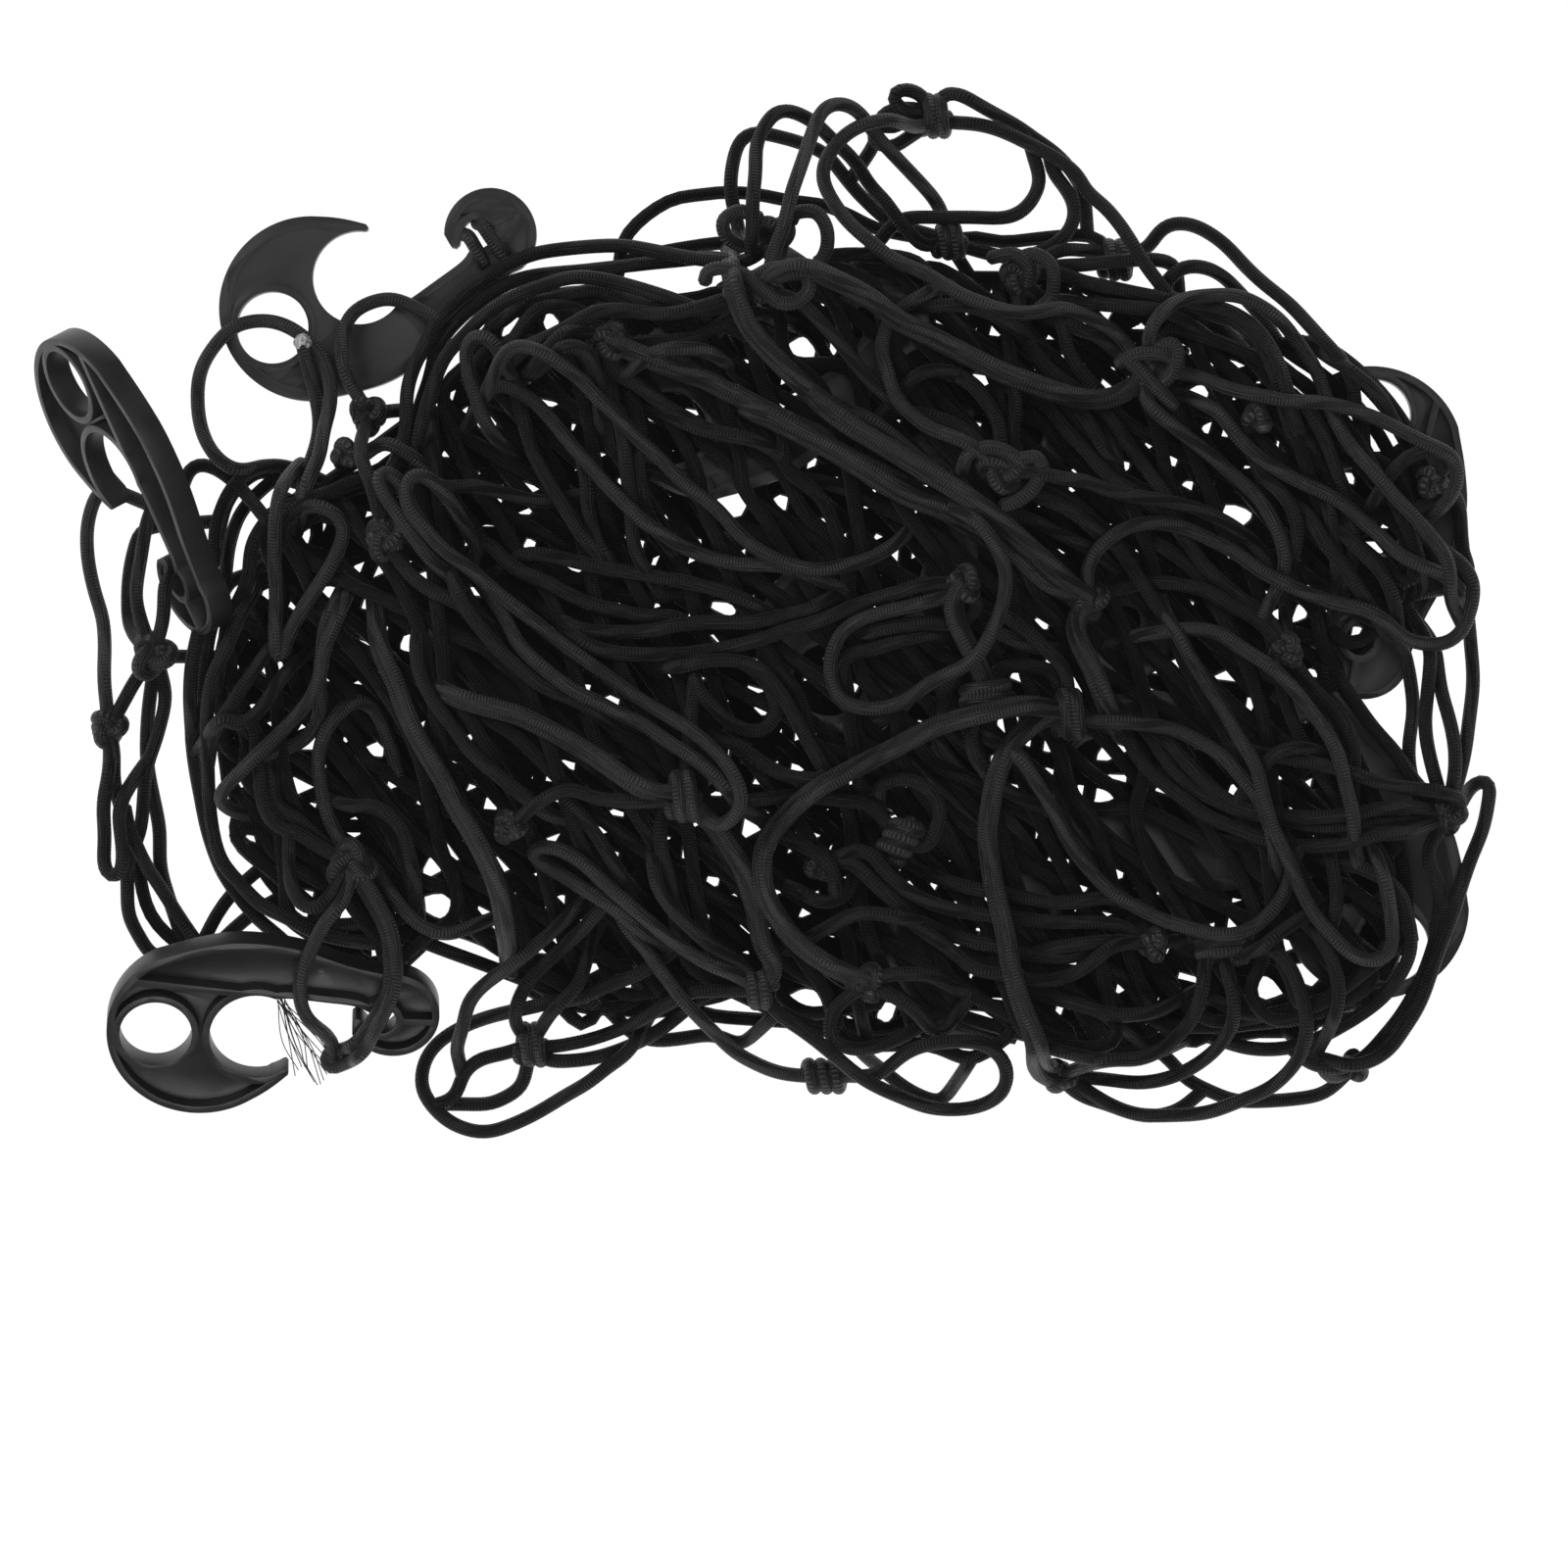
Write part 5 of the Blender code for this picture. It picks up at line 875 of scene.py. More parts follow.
def hook_outline():
    """The hook's edge, counterclockwise, and at each point the width of the raised rim on its flat side."""
    head = arc(0, 0, HEAD_RADIUS, 66, 248)
    back = eased([head[-1], (3.6, -29.9), (17.0, -30.5), (34.0, -26.4), (50.0, -18.6), (63.0, -13.9)])[1:]
    curl = arc(*CURL, -70, 158)
    tip = [(48.1, 2.6), (48.4, 0.9), (49.6, 0.0), (51.0, 0.5), (52.4, 2.4)]
    slot = arc(*SLOT, 150, -136)
    arm = eased([slot[-1], (49.6, -4.5), (40.0, -6.9), (30.0, -9.2), (25.6, -9.6)])[1:-1]
    mouth = arc(*MOUTH, -60, -300)
    horn = [(25.9, 16.1), (26.5, 17.0), (26.2, 18.0)]
    brow = eased([horn[-1], (21.6, 21.4), (17.0, 24.2), head[0]])[1:-1]
    stretches = [(head, 3.8), (back, 3.8), (curl, 3.4), (tip, 3.0), (slot, 2.6), (arm, 2.6), (mouth, -0.5),
                 (horn, 3.0), (brow, 3.8)]
    edge = [point for stretch, _ in stretches for point in stretch]
    rims = [rim for stretch, rim in stretches for _ in stretch]
    return np.array(edge), np.array(rims)


HOOK_EDGE, FLAT_RIMS = hook_outline()
print("The hook's edge has", len(HOOK_EDGE), "points and is",
      round(float(np.ptp(HOOK_EDGE[:, 0])), 1), "mm long")

# %% [markdown]
# The frame already holds each hook in its place. So a hook's height isn't worked out again: it is read from
# the box of the frame's own node.

# %% Placing a hook
HOOK_THICK = 8.2
HOOK_GAP = 0.85             # air between a hook and what lies on it
LEANING = "hook_2"          # it leans over the cords near it, which run below it


def hook_turn(heading, roll):
    """The hook's turn: roll about its length, then heading."""
    return Matrix.Rotation(math.radians(heading), 3, "Z") @ Matrix.Rotation(math.radians(roll), 3, "X")


def hook_surface(turn):
    """Points all over the hook, turned, about its head's middle."""
    around = even_steps(np.vstack([HOOK_EDGE, HOOK_EDGE[:1]]), 2.0)
    grid = [(u, v) for u in np.arange(-29, 76, 2.0) for v in np.arange(-31, 30, 2.0)
            if inside(HOOK_EDGE, u, v) and math.dist((u, v), HOLE[:2]) > HOLE[2]]
    flat = np.vstack([around, grid])
    levels = (-HOOK_THICK / 2, -1.5, 1.5, HOOK_THICK / 2)
    return np.vstack([np.column_stack([flat, np.full(len(flat), w)]) for w in levels]) @ np.array(turn).T


def lay_hook(row):
    """Cover the pile where the frame holds this hook; gives back its middle's height."""
    name, x, y, heading, roll, _ = row
    points = hook_surface(hook_turn(heading, roll))
    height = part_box(name)[0].z / MM - points[:, 2].min()
    points += (x, y, height)
    if name == LEANING:
        return height
    pile.cover(pile.low, points, CORD_RADIUS + HOOK_GAP)
    pile.cover(pile.hooks, points, CORD_RADIUS + HOOK_GAP)
    return height


# %% [markdown]
# ## Laying the whole heap
#
# Everything goes down in the order of its layer: hidden cords, hooks, knots, then the rows that show. Four
# lists come out, from deep to top, because a cord that is well hidden needs fewer faces.

# %% The two cords of a pair
LANE = 0.95                 # half the sideways distance between the two cords of a pair
UPPER = 2.7                 # how far one of them is raised
LOWER = 1.35                # and the other lowered
TIP_LANE = 2.3              # the same half distance where such a pair turns back
TIP_LENGTH = 24.0           # length over which its two sides spread to that


def pair_lanes(laid, turns_back):
    """The two cords of a pair, one half over the other, or one cord that turns back at the far end."""
    to_end = np.arange(len(laid))[::-1] * SAMPLE
    share = ease(to_end / TIP_LENGTH) if turns_back else np.ones(len(laid))
    aside = TIP_LANE + (LANE - TIP_LANE) * share
    upper = beside(laid, aside)
    lower = beside(laid, -aside)
    upper[:, 2] += UPPER * share
    lower[:, 2] -= LOWER * share
    if not turns_back:
        return [upper, lower]
    middle = (upper[-1] + lower[-1]) / 2
    ahead = (laid[-1] - laid[-3]) / np.linalg.norm(laid[-1] - laid[-3])
    side = upper[-1] - middle
    bend = [middle + side * math.cos(a) + ahead * TIP_LANE * math.sin(a)
            for a in np.linspace(0.5, math.pi - 0.5, 4)]
    return [np.vstack([upper, bend, lower[::-1]])]


print("A pair's cords lie", 2 * LANE, "mm apart sideways and", round(UPPER + LOWER, 2), "mm in height")

# %% Laying the whole heap
DEEP_LAYER = 4.5            # rows below this layer are deep
TOP_LAYER = 7.5             # and rows from this one up are on top
KNOT_LEAD = 0.3             # a knot lies just below the cords of its layer
HIDDEN_KINDS = {            # depth, way of laying and places left free
    "bottom": ("deep", lay_bottom, CLEAR),
    "inner": ("deep", lay_strand, CLEAR),
    "dim": ("dim", lay_strand, SHOWN),
}


def lay_heap():
    """Lay all rows; gives back the cords by depth, the knots' middles and the hooks' heights."""
    jobs = [(row[5], 0, "hook", row) for row in HOOKS]
    jobs += [(row[5] - KNOT_LEAD, 1, "knot", row) for row in KNOTS]
    jobs += [(layer, 2, kind, row) for kind, layer, *row in HIDDEN]
    jobs += [(layer, 3, kind, points) for layer, kind, points in read_routes(ROUTES)]
    jobs.sort(key=lambda job: (job[0], job[1]))
    cords = {"deep": [], "dim": [], "middle": [], "top": []}
    knots, hooks = [], []
    for layer, _, kind, row in jobs:
        if kind == "hook":
            hooks.append((row, lay_hook(row)))
        elif kind == "knot":
            knots.append((*lay_knot(row), row))
        elif kind in HIDDEN_KINDS:
            depth, lay, places = HIDDEN_KINDS[kind]
            cords[depth] += [lay(line) for line in hidden_strands(*row, places)]
        else:
            line = smooth_route(row)
            depth = "deep" if layer < DEEP_LAYER else "middle" if layer < TOP_LAYER else "top"
            paired = kind.lower() in "pb"
            laid = lay_strand(line, knots, paired)
            cords[depth] += pair_lanes(laid, kind.lower() == "b") if paired else [laid]
    return cords, knots, hooks


cords, knots, hooks = lay_heap()
print("Laid:", sum(map(len, cords.values())), "cords,", len(knots), "knots and", len(hooks), "hooks")

# %% The cut end lies on its neighbour
TIP_POINTS = 8              # points of the cord that come down with its end
TIP_SINK = 1.5              # how far the end sinks into the pile's gap
free = next(line for lines in cords.values() for line in lines if math.dist(line[0, :2], FREE_END) < 3)
drop = float(pile.under(free[:1])[0]) - TIP_SINK - free[0, 2]
free[:TIP_POINTS, 2] += drop * ease(np.linspace(1, 0.1, TIP_POINTS))
for depth, lines in cords.items():
    length = sum(np.linalg.norm(np.diff(line, axis=0), axis=1).sum() for line in lines)
    print(depth, "cords:", len(lines), "in all", round(length * MM, 1), "m")

# %% [markdown]
# ## The cord's sheath
#
# Elastic cord has rubber threads inside a braided sheath. Stretched on the machine and let go, the sheath
# gathers: fine cross ribs show in strips along the cord, with smoother strips between. The ribs are only a
# millimetre apart, so they are bump, and they need to run along each cord however it bends. That is what the
# UV map is for: U is the distance along the cord and V goes round it.

# %% Nodes that all finishes use
# Painted glow: every surface gives off this faint white light, though none of them is a lamp
PAINTED_HAZE_GLOW = 0.0028               # a faint glow, because a lens never shows full black


def maths(tree, operation, first, second=None):
    """One Math node; its inputs are numbers or other nodes' outputs."""
    made = tree.nodes.new("ShaderNodeMath")
    made.operation = operation
    for socket, value in zip(made.inputs, (first, second)):
        if isinstance(value, (int, float)):
            socket.default_value = value
        elif value is not None:
            tree.links.new(value, socket)
    return made.outputs[0]


def principled(tree, roughness, specular):
    """A Principled shader joined to the material's output."""
    shader = tree.nodes.new("ShaderNodeBsdfPrincipled")
    shader.inputs["Roughness"].default_value = roughness
    shader.inputs["Specular IOR Level"].default_value = specular
    # painted glow: a faint white emission on every finish
    shader.inputs["Emission Color"].default_value = (1, 1, 1, 1)
    shader.inputs["Emission Strength"].default_value = PAINTED_HAZE_GLOW
    out = tree.nodes.new("ShaderNodeOutputMaterial")
    tree.links.new(shader.outputs["BSDF"], out.inputs["Surface"])
    return shader


def colour_ramp(tree, source, stops):
    """A colour ramp over a source; stops are place and grey."""
    ramp = tree.nodes.new("ShaderNodeValToRGB")
    while len(ramp.color_ramp.elements) < len(stops):
        ramp.color_ramp.elements.new(0.5)
    for element, (place, grey) in zip(ramp.color_ramp.elements, stops):
        element.position = place
        element.color = (grey, grey, grey * 1.02, 1)
    tree.links.new(source, ramp.inputs["Fac"])
    return ramp.outputs["Color"]


def noise(tree, vector, scale, detail=3.0):
    """Soft random grey, from 0 to 1."""
    made = tree.nodes.new("ShaderNodeTexNoise")
    made.inputs["Scale"].default_value = scale
    made.inputs["Detail"].default_value = detail
    tree.links.new(vector, made.inputs["Vector"])
    return made.outputs["Fac"]


def bump(tree, height, distance, strength=1.0):
    """The normals of a surface with this relief."""
    made = tree.nodes.new("ShaderNodeBump")
    made.inputs["Distance"].default_value = distance
    made.inputs["Strength"].default_value = strength
    tree.links.new(height, made.inputs["Height"])
    return made.outputs["Normal"]


print("Every finish glows faintly, with strength", PAINTED_HAZE_GLOW)

# %% Cord finish
RIB_PITCH = 1.0             # millimetres
STRIPS = 3                  # ribbed strips round the cord
STRIP_TURN = 0.011          # turns of a strip for each millimetre of cord
UV_LENGTH = 100.0           # millimetres of cord for each unit of U
THREADS = 5                 # threads for each strip
THREAD_RELIEF = 0.2         # a thread's height where a rib's is 1
STRIP_EDGE = 1.6            # how steeply a strip begins and ends
# Painted highlight and shade: the ribs' crests are coloured paler and their grooves darker; the strips' paler
# tone is partly their own weave, partly painted sheen
STRIP_TONE_AND_PAINTED_RIB_SHADING = 0.34            # how far ribs and strips make the sheath paler
WEAR_SHADE = 0.34           # how far uneven wear does
RIB_BUMP = 0.00042          # metres
SWAY_SCALE = 18.0           # noise that makes the strips wander
WEAR_SCALE = 55.0           # noise of the uneven wear
PALENESS = (0.12, 0.9)      # shades at which the plain and the ribbed colour are reached


def cord_material(name, plain, ribbed, specular):
    """Matt black sheath: cross ribs in strips, smoother and darker threads between. The ribs' relief is also
    painted into the colour: painted highlight on the crests, painted shade in the grooves, and strips paler
    partly by their own weave and partly by painted sheen.
    """
    made, tree = new_material(name)
    shader = principled(tree, 0.52, specular)
    shader.inputs["Sheen Weight"].default_value = 0.05
    shader.inputs["Sheen Roughness"].default_value = 0.45
    uv = tree.nodes.new("ShaderNodeUVMap")
    uv.uv_map = "along"
    parts = tree.nodes.new("ShaderNodeSeparateXYZ")
    tree.links.new(uv.outputs["UV"], parts.inputs["Vector"])
    along, around = parts.outputs["X"], parts.outputs["Y"]
    wide = tree.nodes.new("ShaderNodeTexCoord").outputs["Object"]
    sway = maths(tree, "MULTIPLY", noise(tree, wide, SWAY_SCALE), 0.5)
    turn = maths(tree, "ADD", maths(tree, "MULTIPLY", along, STRIP_TURN * UV_LENGTH), sway)
    strip = maths(tree, "MULTIPLY", maths(tree, "ADD", around, turn), 2 * math.pi * STRIPS)
    strip = maths(tree, "SINE", strip)
    strip = maths(tree, "SMOOTH_MIN", maths(tree, "MULTIPLY_ADD", strip, STRIP_EDGE), 1.0)
    ribs = maths(tree, "SINE", maths(tree, "MULTIPLY", along, 2 * math.pi * UV_LENGTH / RIB_PITCH))
    strip = maths(tree, "MAXIMUM", strip, 0.0)
    relief = maths(tree, "MULTIPLY", ribs, strip)
    seams = maths(tree, "MULTIPLY", around, 2 * math.pi * STRIPS * THREADS)
    threads = maths(tree, "MULTIPLY", maths(tree, "SINE", seams), THREAD_RELIEF)
    relief = maths(tree, "ADD", relief, threads)
    worn = maths(tree, "MULTIPLY", noise(tree, wide, WEAR_SCALE), WEAR_SHADE)
    # painted highlight and shade from the ribs' relief, with the strips' tone; the wear added next is real
    raised = maths(tree, "MULTIPLY", maths(tree, "ADD", relief, strip), STRIP_TONE_AND_PAINTED_RIB_SHADING)
    shade = maths(tree, "ADD", raised, worn)
    stops = list(zip(PALENESS, (plain, ribbed)))
    tree.links.new(colour_ramp(tree, shade, stops), shader.inputs["Base Color"])
    tree.links.new(bump(tree, relief, RIB_BUMP), shader.inputs["Normal"])
    return made


# Deep in the heap the sheath is in shade from every side. The same sheath is copied with that shade painted
# in:
# darker colour and weaker reflection for the middle cords, and darker still for the deep ones
cord_finish = cord_material("braided_cord", 0.003, 0.058, 0.38)
painted_shade_finish = cord_material("braided_cord_painted_shade", 0.0025, 0.024, 0.2)
painted_deep_shade_finish = cord_material("braided_cord_painted_deep_shade", 0.0025, 0.009, 0.12)
print("Ribs every", RIB_PITCH, "mm in", STRIPS, "strips")

# %% [markdown]
# ## Making the tubes
#
# Each path gets rings of points that keep their turn from ring to ring, so the strips don't twist where the
# cord bends. All tubes of one depth become one mesh: hundreds of objects would only be slow.

# %% Rings round a path
rng = np.random.default_rng(7)


def ring_frames(ahead):
    """For each direction of a path, two directions across it that don't spin about it."""
    first = np.cross(ahead[0], (0, 0, 1))
    side = first / max(np.linalg.norm(first), 1e-6)
    sides = []
    for direction in ahead:
        side = side - direction * (side @ direction)
        side /= max(np.linalg.norm(side), 1e-6)
        sides.append(side)
    sides = np.array(sides)
    return sides, np.cross(ahead, sides)


def tube_points(line, radius, sides_count):
    """Rings round the path, with two small rings that close each end softly."""
    ahead = directions(line)
    side, up = ring_frames(ahead)
    path = np.vstack([line[0] - ahead[0] * radius * 0.5, line, line[-1] + ahead[-1] * radius * 0.5])
    side = np.vstack([side[:1], side, side[-1:]])
    up = np.vstack([up[:1], up, up[-1:]])
    width = np.full(len(path), float(radius))
    width[[0, -1]] = radius * 0.6
    turn = rng.uniform(0, 2 * math.pi) + 2 * math.pi * np.arange(sides_count) / sides_count
    spokes = np.cos(turn)[None, :, None] * side[:, None] + np.sin(turn)[None, :, None] * up[:, None]
    return path[:, None] + width[:, None, None] * spokes, path


print("A straight path keeps its side:", ring_frames(np.array([(1.0, 0.0, 0.0)] * 2))[0].tolist())

# %% The cords
# The middle, dim and deep cords get the copies of the sheath with painted shade
TUBE_FORMS = {              # sides, step and finish of each depth
    "deep": (8, 4.0, painted_deep_shade_finish),
    "dim": (10, 3.0, painted_deep_shade_finish),
    "middle": (10, 1.8, painted_shade_finish),
    "top": (14, 1.6, cord_finish),
}


def tube_object(name, tubes, finish, radius=CORD_RADIUS, sides_count=12):
    """One mesh of many tubes, with a UV map that runs along each."""
    points, faces, coords = [], [], []
    start = 0
    for line in tubes:
        line = np.column_stack([line[:, :2], np.maximum(line[:, 2], radius)])
        rings, path = tube_points(line, radius, sides_count)
        count = len(rings)
        points.append(rings.reshape(-1, 3))
        ring = np.arange(count - 1)[:, None] * sides_count
        corner = np.arange(sides_count)[None]
        after = (corner + 1) % sides_count
        following = ring + sides_count
        quads = np.stack([ring + corner, ring + after, following + after, following + corner], -1)
        faces += (quads.reshape(-1, 4) + start).tolist()
        step = np.concatenate([[0], np.cumsum(np.linalg.norm(np.diff(path, axis=0), axis=1))]) / UV_LENGTH
        step += rng.uniform(0, 1)
        low, high = np.broadcast_arrays(step[:-1, None], corner / sides_count)
        top = np.broadcast_to(step[1:, None], low.shape)
        wrap = high + 1 / sides_count
        coords.append(np.stack([low, high, low, wrap, top, wrap, top, high], -1).reshape(-1, 2))
        for first, turn in ((0, -1), ((count - 1) * sides_count, 1)):
            faces.append([start + first + index for index in range(sides_count)][::turn])
            coords.append(np.full((sides_count, 2), 0.5))
        start += count * sides_count
    mesh = bpy.data.meshes.new(name)
    mesh.from_pydata((np.vstack(points) * MM).tolist(), [], faces)
    layer = mesh.uv_layers.new(name="along")
    layer.data.foreach_set("uv", np.vstack(coords).astype(np.float32).ravel())
    mesh.shade_smooth()
    mesh.materials.append(finish)
    made = bpy.data.objects.new(name, mesh)
    scene.collection.objects.link(made)
    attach(made, "root")
    triangles = sum(len(face) - 2 for face in faces)
    print(name, "has", len(tubes), "cords and", triangles, "triangles")
    return made


for depth, lines in cords.items():
    sides_count, step, finish = TUBE_FORMS[depth]
    smooth = [smooth_route(line, step) for line in lines]
    for part, chosen in enumerate(np.array_split(np.arange(len(smooth)), 2)):
        made = tube_object(f"{depth}_cords_{part + 1}", [smooth[index] for index in chosen], finish,
                           sides_count=sides_count)
        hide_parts("net")

# %% [markdown]
# ## Knots
#
# The net's crossings are overhand knots pulled tight, and here and there a few turns wrapped round a bundle.
# An overhand knot closed on itself is a trefoil, which is three sines. Drawn small, with the cord's full
# thickness, its three lobes press together into the lump that a real knot makes. Where the cord's way through
# a knot can be seen, its loops are written as rows.

# %% Knots
KNOT_RISE = 2.25            # half the height between the cords of a trefoil's crossings
KNOT_LEAST = 11.0           # least length and width of a trefoil
TREFOIL_GAP = 0.25          # part of the trefoil left open at each end, in radians
CORE_SIZE = 0.8             # a tight lump's inner trefoil, as a share of the outer one
CORE_DROP = 2.5             # and how far it lies below it
WRAP_PITCH = 4.6
WRAP_HIGH = 5.2             # half the height of a wrapped bundle
WRAP_POINTS = 22            # points for each turn


def turned(points, middle, heading):
    """Points in a knot's own directions (along, across, up) brought to its place."""
    angle = math.radians(heading)
    c, s = math.cos(angle), math.sin(angle)
    return np.column_stack([middle[0] + points[:, 0] * c - points[:, 1] * s,
                            middle[1] + points[:, 0] * s + points[:, 1] * c, middle[2] + points[:, 2]])


def trefoil(length, width, rise, start):
    """An overhand knot's path: an open trefoil with the given outer size."""
    t = np.linspace(start + TREFOIL_GAP, start + 2 * math.pi - TREFOIL_GAP, 64)
    along = (np.cos(t) - 2 * np.cos(2 * t)) / 3
    across = (np.sin(t) + 2 * np.sin(2 * t)) / 2.7
    path = np.column_stack([along * (length / 2 - CORD_RADIUS), across * (width / 2 - CORD_RADIUS),
                            -np.sin(3 * t) * rise])
    path[[0, -1], 2] -= rise
    return path


def wraps(length, radius):
    """Turns round a bundle, their ends tucked inward."""
    turns = max(1.6, round(length / WRAP_PITCH) + 0.4)
    t = np.linspace(-0.2, 2 * math.pi * turns - 0.2, int(turns * WRAP_POINTS))
    along = np.linspace(-0.5, 0.5, len(t)) * (turns - 0.6) * WRAP_PITCH
    across = np.cos(t + 2.6) * (radius - CORD_RADIUS * 0.8)
    up = np.sin(t + 2.6) * max(WRAP_HIGH, radius * 0.7)
    inward = ease(np.minimum(np.arange(len(t)), np.arange(len(t))[::-1]) / 5)
    return np.column_stack([along, across * (0.4 + 0.6 * inward), up * (0.3 + 0.7 * inward)])


def knot_paths(kind, row, middle, start):
    """The paths of one knot's cord."""
    _, _, heading, length, radius, _ = row
    if kind == "W":
        heading, length, radius = heading + 90, 2 * radius, length / 2
    if kind in "BW":
        return [turned(wraps(length, radius), middle, heading)]
    long, wide = max(length, KNOT_LEAST), max(2 * radius, KNOT_LEAST)
    paths = [turned(trefoil(long, wide, KNOT_RISE, start), middle, heading)]
    if kind == "T":
        core = trefoil(long * CORE_SIZE, wide * CORE_SIZE, KNOT_RISE * 1.2, start + 2.4)
        paths.append(turned(core, (middle[0], middle[1], middle[2] - CORE_DROP), heading + 70))
    return paths


print("The smallest trefoil has", len(trefoil(KNOT_LEAST, KNOT_LEAST, KNOT_RISE, 0)), "points")

# %% Loops of the open knots
LOOP_RISE = 5.0             # how far a loop rises over its knot's middle
# Each row: the number of its knot in the list, then the points of one loop
LOOPS = """
6 8,121 9.8,123.6 15.6,123.6 19,118.7 19,112 15.6,107 11,107
6 -2,122 -8,124 -13,121 -12,116 -7,113
9 71,111 78,112 83,108 82,103
9 78,110 84.5,112 90,108 90,99 86,95
10 -18.8,101.3 -17.5,104.6 -12.5,105.4 -5.9,102.9 -0.1,98 4.9,94.6 9.8,95 13.2,98 13.2,102.1 9.8,105.4
   2.4,105.4 -3,103
18 61,42.6 63,47.6 68,50 73.6,49.3 78.6,46 80.3,43.5
18 76,46 81,46.8 84.4,46.8 86,42.6 82.7,36.8 78.6,33.5 74,32
19 111,77.7 117.4,80.4 125.6,80 130,77
19 120,81 124.7,83 128.3,83 129.2,78.6 126.5,73 122,70
19 112,79 115.6,76.8 121,71.4 125.6,66.8 128,64
"""
# Two short turns of cord over the slot of the hook that lies flat: x, y, z
SLOT_TURNS = [
    [(-95.5, 119.5, 3), (-93.8, 118.3, 9.5), (-91.5, 114.5, 10.8), (-89.5, 110.8, 9), (-88.5, 108.5, 3)],
    [(-91.3, 123, 3), (-89.5, 121.8, 9.5), (-86.5, 117.5, 10.8), (-83.2, 113.3, 9.5), (-81.5, 111, 4)],
]


def loop_paths(knots):
    """The loops, risen from their knots' middles."""
    paths = []
    for row in LOOPS.strip().replace("\n   ", " ").split("\n"):
        number, points = row.split(" ", 1)
        level = knots[int(number) - 1][2]
        line = smooth_route(read_points(points), 1.2)
        rise = level + 0.5 + LOOP_RISE * np.sin(np.linspace(0.15, math.pi - 0.15, len(line))) ** 0.6
        paths.append(np.column_stack([line, rise]))
    return paths


ordered = sorted(knots, key=lambda knot: KNOTS.index(knot[3]))
knot_cords = loop_paths(ordered)
knot_cords += [smooth_route(np.array(turn, float), 1.2) for turn in SLOT_TURNS]
for number, ((x, y, height, row), kind) in enumerate(zip(ordered, KNOT_KINDS.replace(" ", ""))):
    if kind != "-":
        knot_cords += knot_paths(kind, row, (x, y, height), 0.8 * number)
tied = tube_object("knots", knot_cords, cord_finish, sides_count=14)
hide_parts("net")

# %% [markdown]
# ## Where the cord ends
#
# One end was cut and melted, so that the sheath can't fray: a small hard blob, paler than the cord. Another
# end has opened into its threads. Both are seen at the heap's left side.

# %% The melted tip
MELTED_AT = (-146.0, 84.6)
MELTED_RADIUS = 2.9


def melted_tip(x, y, height, radius):
    """A small lumpy ball, flattened a little."""
    bm = bmesh.new()
    bmesh.ops.create_icosphere(bm, subdivisions=3, radius=radius * MM)
    for vertex in bm.verts:
        where = vertex.co / MM
        lump = 0.08 * math.sin(2.4 * where.x + 1) * math.cos(2.1 * where.y) - 0.05 * math.sin(3 * where.z)
        vertex.co *= 1 + lump
        vertex.co.z *= 0.85
    mesh = bpy.data.meshes.new("melted_tip")
    bm.to_mesh(mesh)
    bm.free()
    mesh.shade_smooth()
    made, tree = new_material("melted_sheath")
    shader = principled(tree, 0.4, 0.5)
    wide = tree.nodes.new("ShaderNodeTexCoord").outputs["Object"]
    specks = noise(tree, wide, 900.0, 2.0)
    tree.links.new(colour_ramp(tree, specks, [(0.35, 0.10), (0.62, 0.55)]), shader.inputs["Base Color"])
    mesh.materials.append(made)
    tip = bpy.data.objects.new("melted_tip", mesh)
    tip.location = (x * MM, y * MM, height * MM)
    scene.collection.objects.link(tip)
    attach(tip, "root")


melted_tip(*MELTED_AT, float(free[0, 2]), MELTED_RADIUS)
print("The melted tip is", 2 * MELTED_RADIUS, "mm wide")

# %% The fray
FRAY_START = np.array([-153.6, -122.6])
FRAYS = 15                  # threads that the end has opened into
THREAD_RADIUS = 0.17
LOWEST = 0.4                # a thread's least height


def thread_material():
    """Dark threads of the opened sheath."""
    made, tree = new_material("loose_threads")
    principled(tree, 0.6, 0.4).inputs["Base Color"].default_value = (0.05, 0.05, 0.052, 1)
    return made


threads = []
for index in range(FRAYS):      # they fan out by slow waves, so that no two run alike
    share = index / (FRAYS - 1)
    far = np.array([-149 + 14 * share, -147 + 3 * math.sin(9 * share)])
    middle = (FRAY_START + far) / 2 + (2.5 * math.sin(5 * index), 1.5 * math.cos(3 * index))
    near = FRAY_START + (1.2 * math.sin(4 * index), 1.2 * math.cos(7 * index))
    path = smooth_route(np.vstack([near, middle, far]), 1.5)
    lift = 2.5 + 3 * np.sin(np.linspace(0.3, 2.6, len(path)) + share)
    threads.append(np.column_stack([path, np.maximum(lift, LOWEST)]))
threads.append(np.array([(-119.6, -135.4, LOWEST), (-116.5, -135.2, 0.7), (-113.2, -135.9, LOWEST)]))
tube_object("loose_threads", threads, thread_material(), radius=THREAD_RADIUS, sides_count=5)

# %% [markdown]
# ## Cutting the hook
#
# The hook is a plate with material taken away: a deep pocket on one side, a shallow one on the other, both
# leaving a rim, a ring round the hole and a rib. That is what Boolean cutters are for. A small bevel
# afterwards gives every edge the thin bright line that a moulded edge shows.

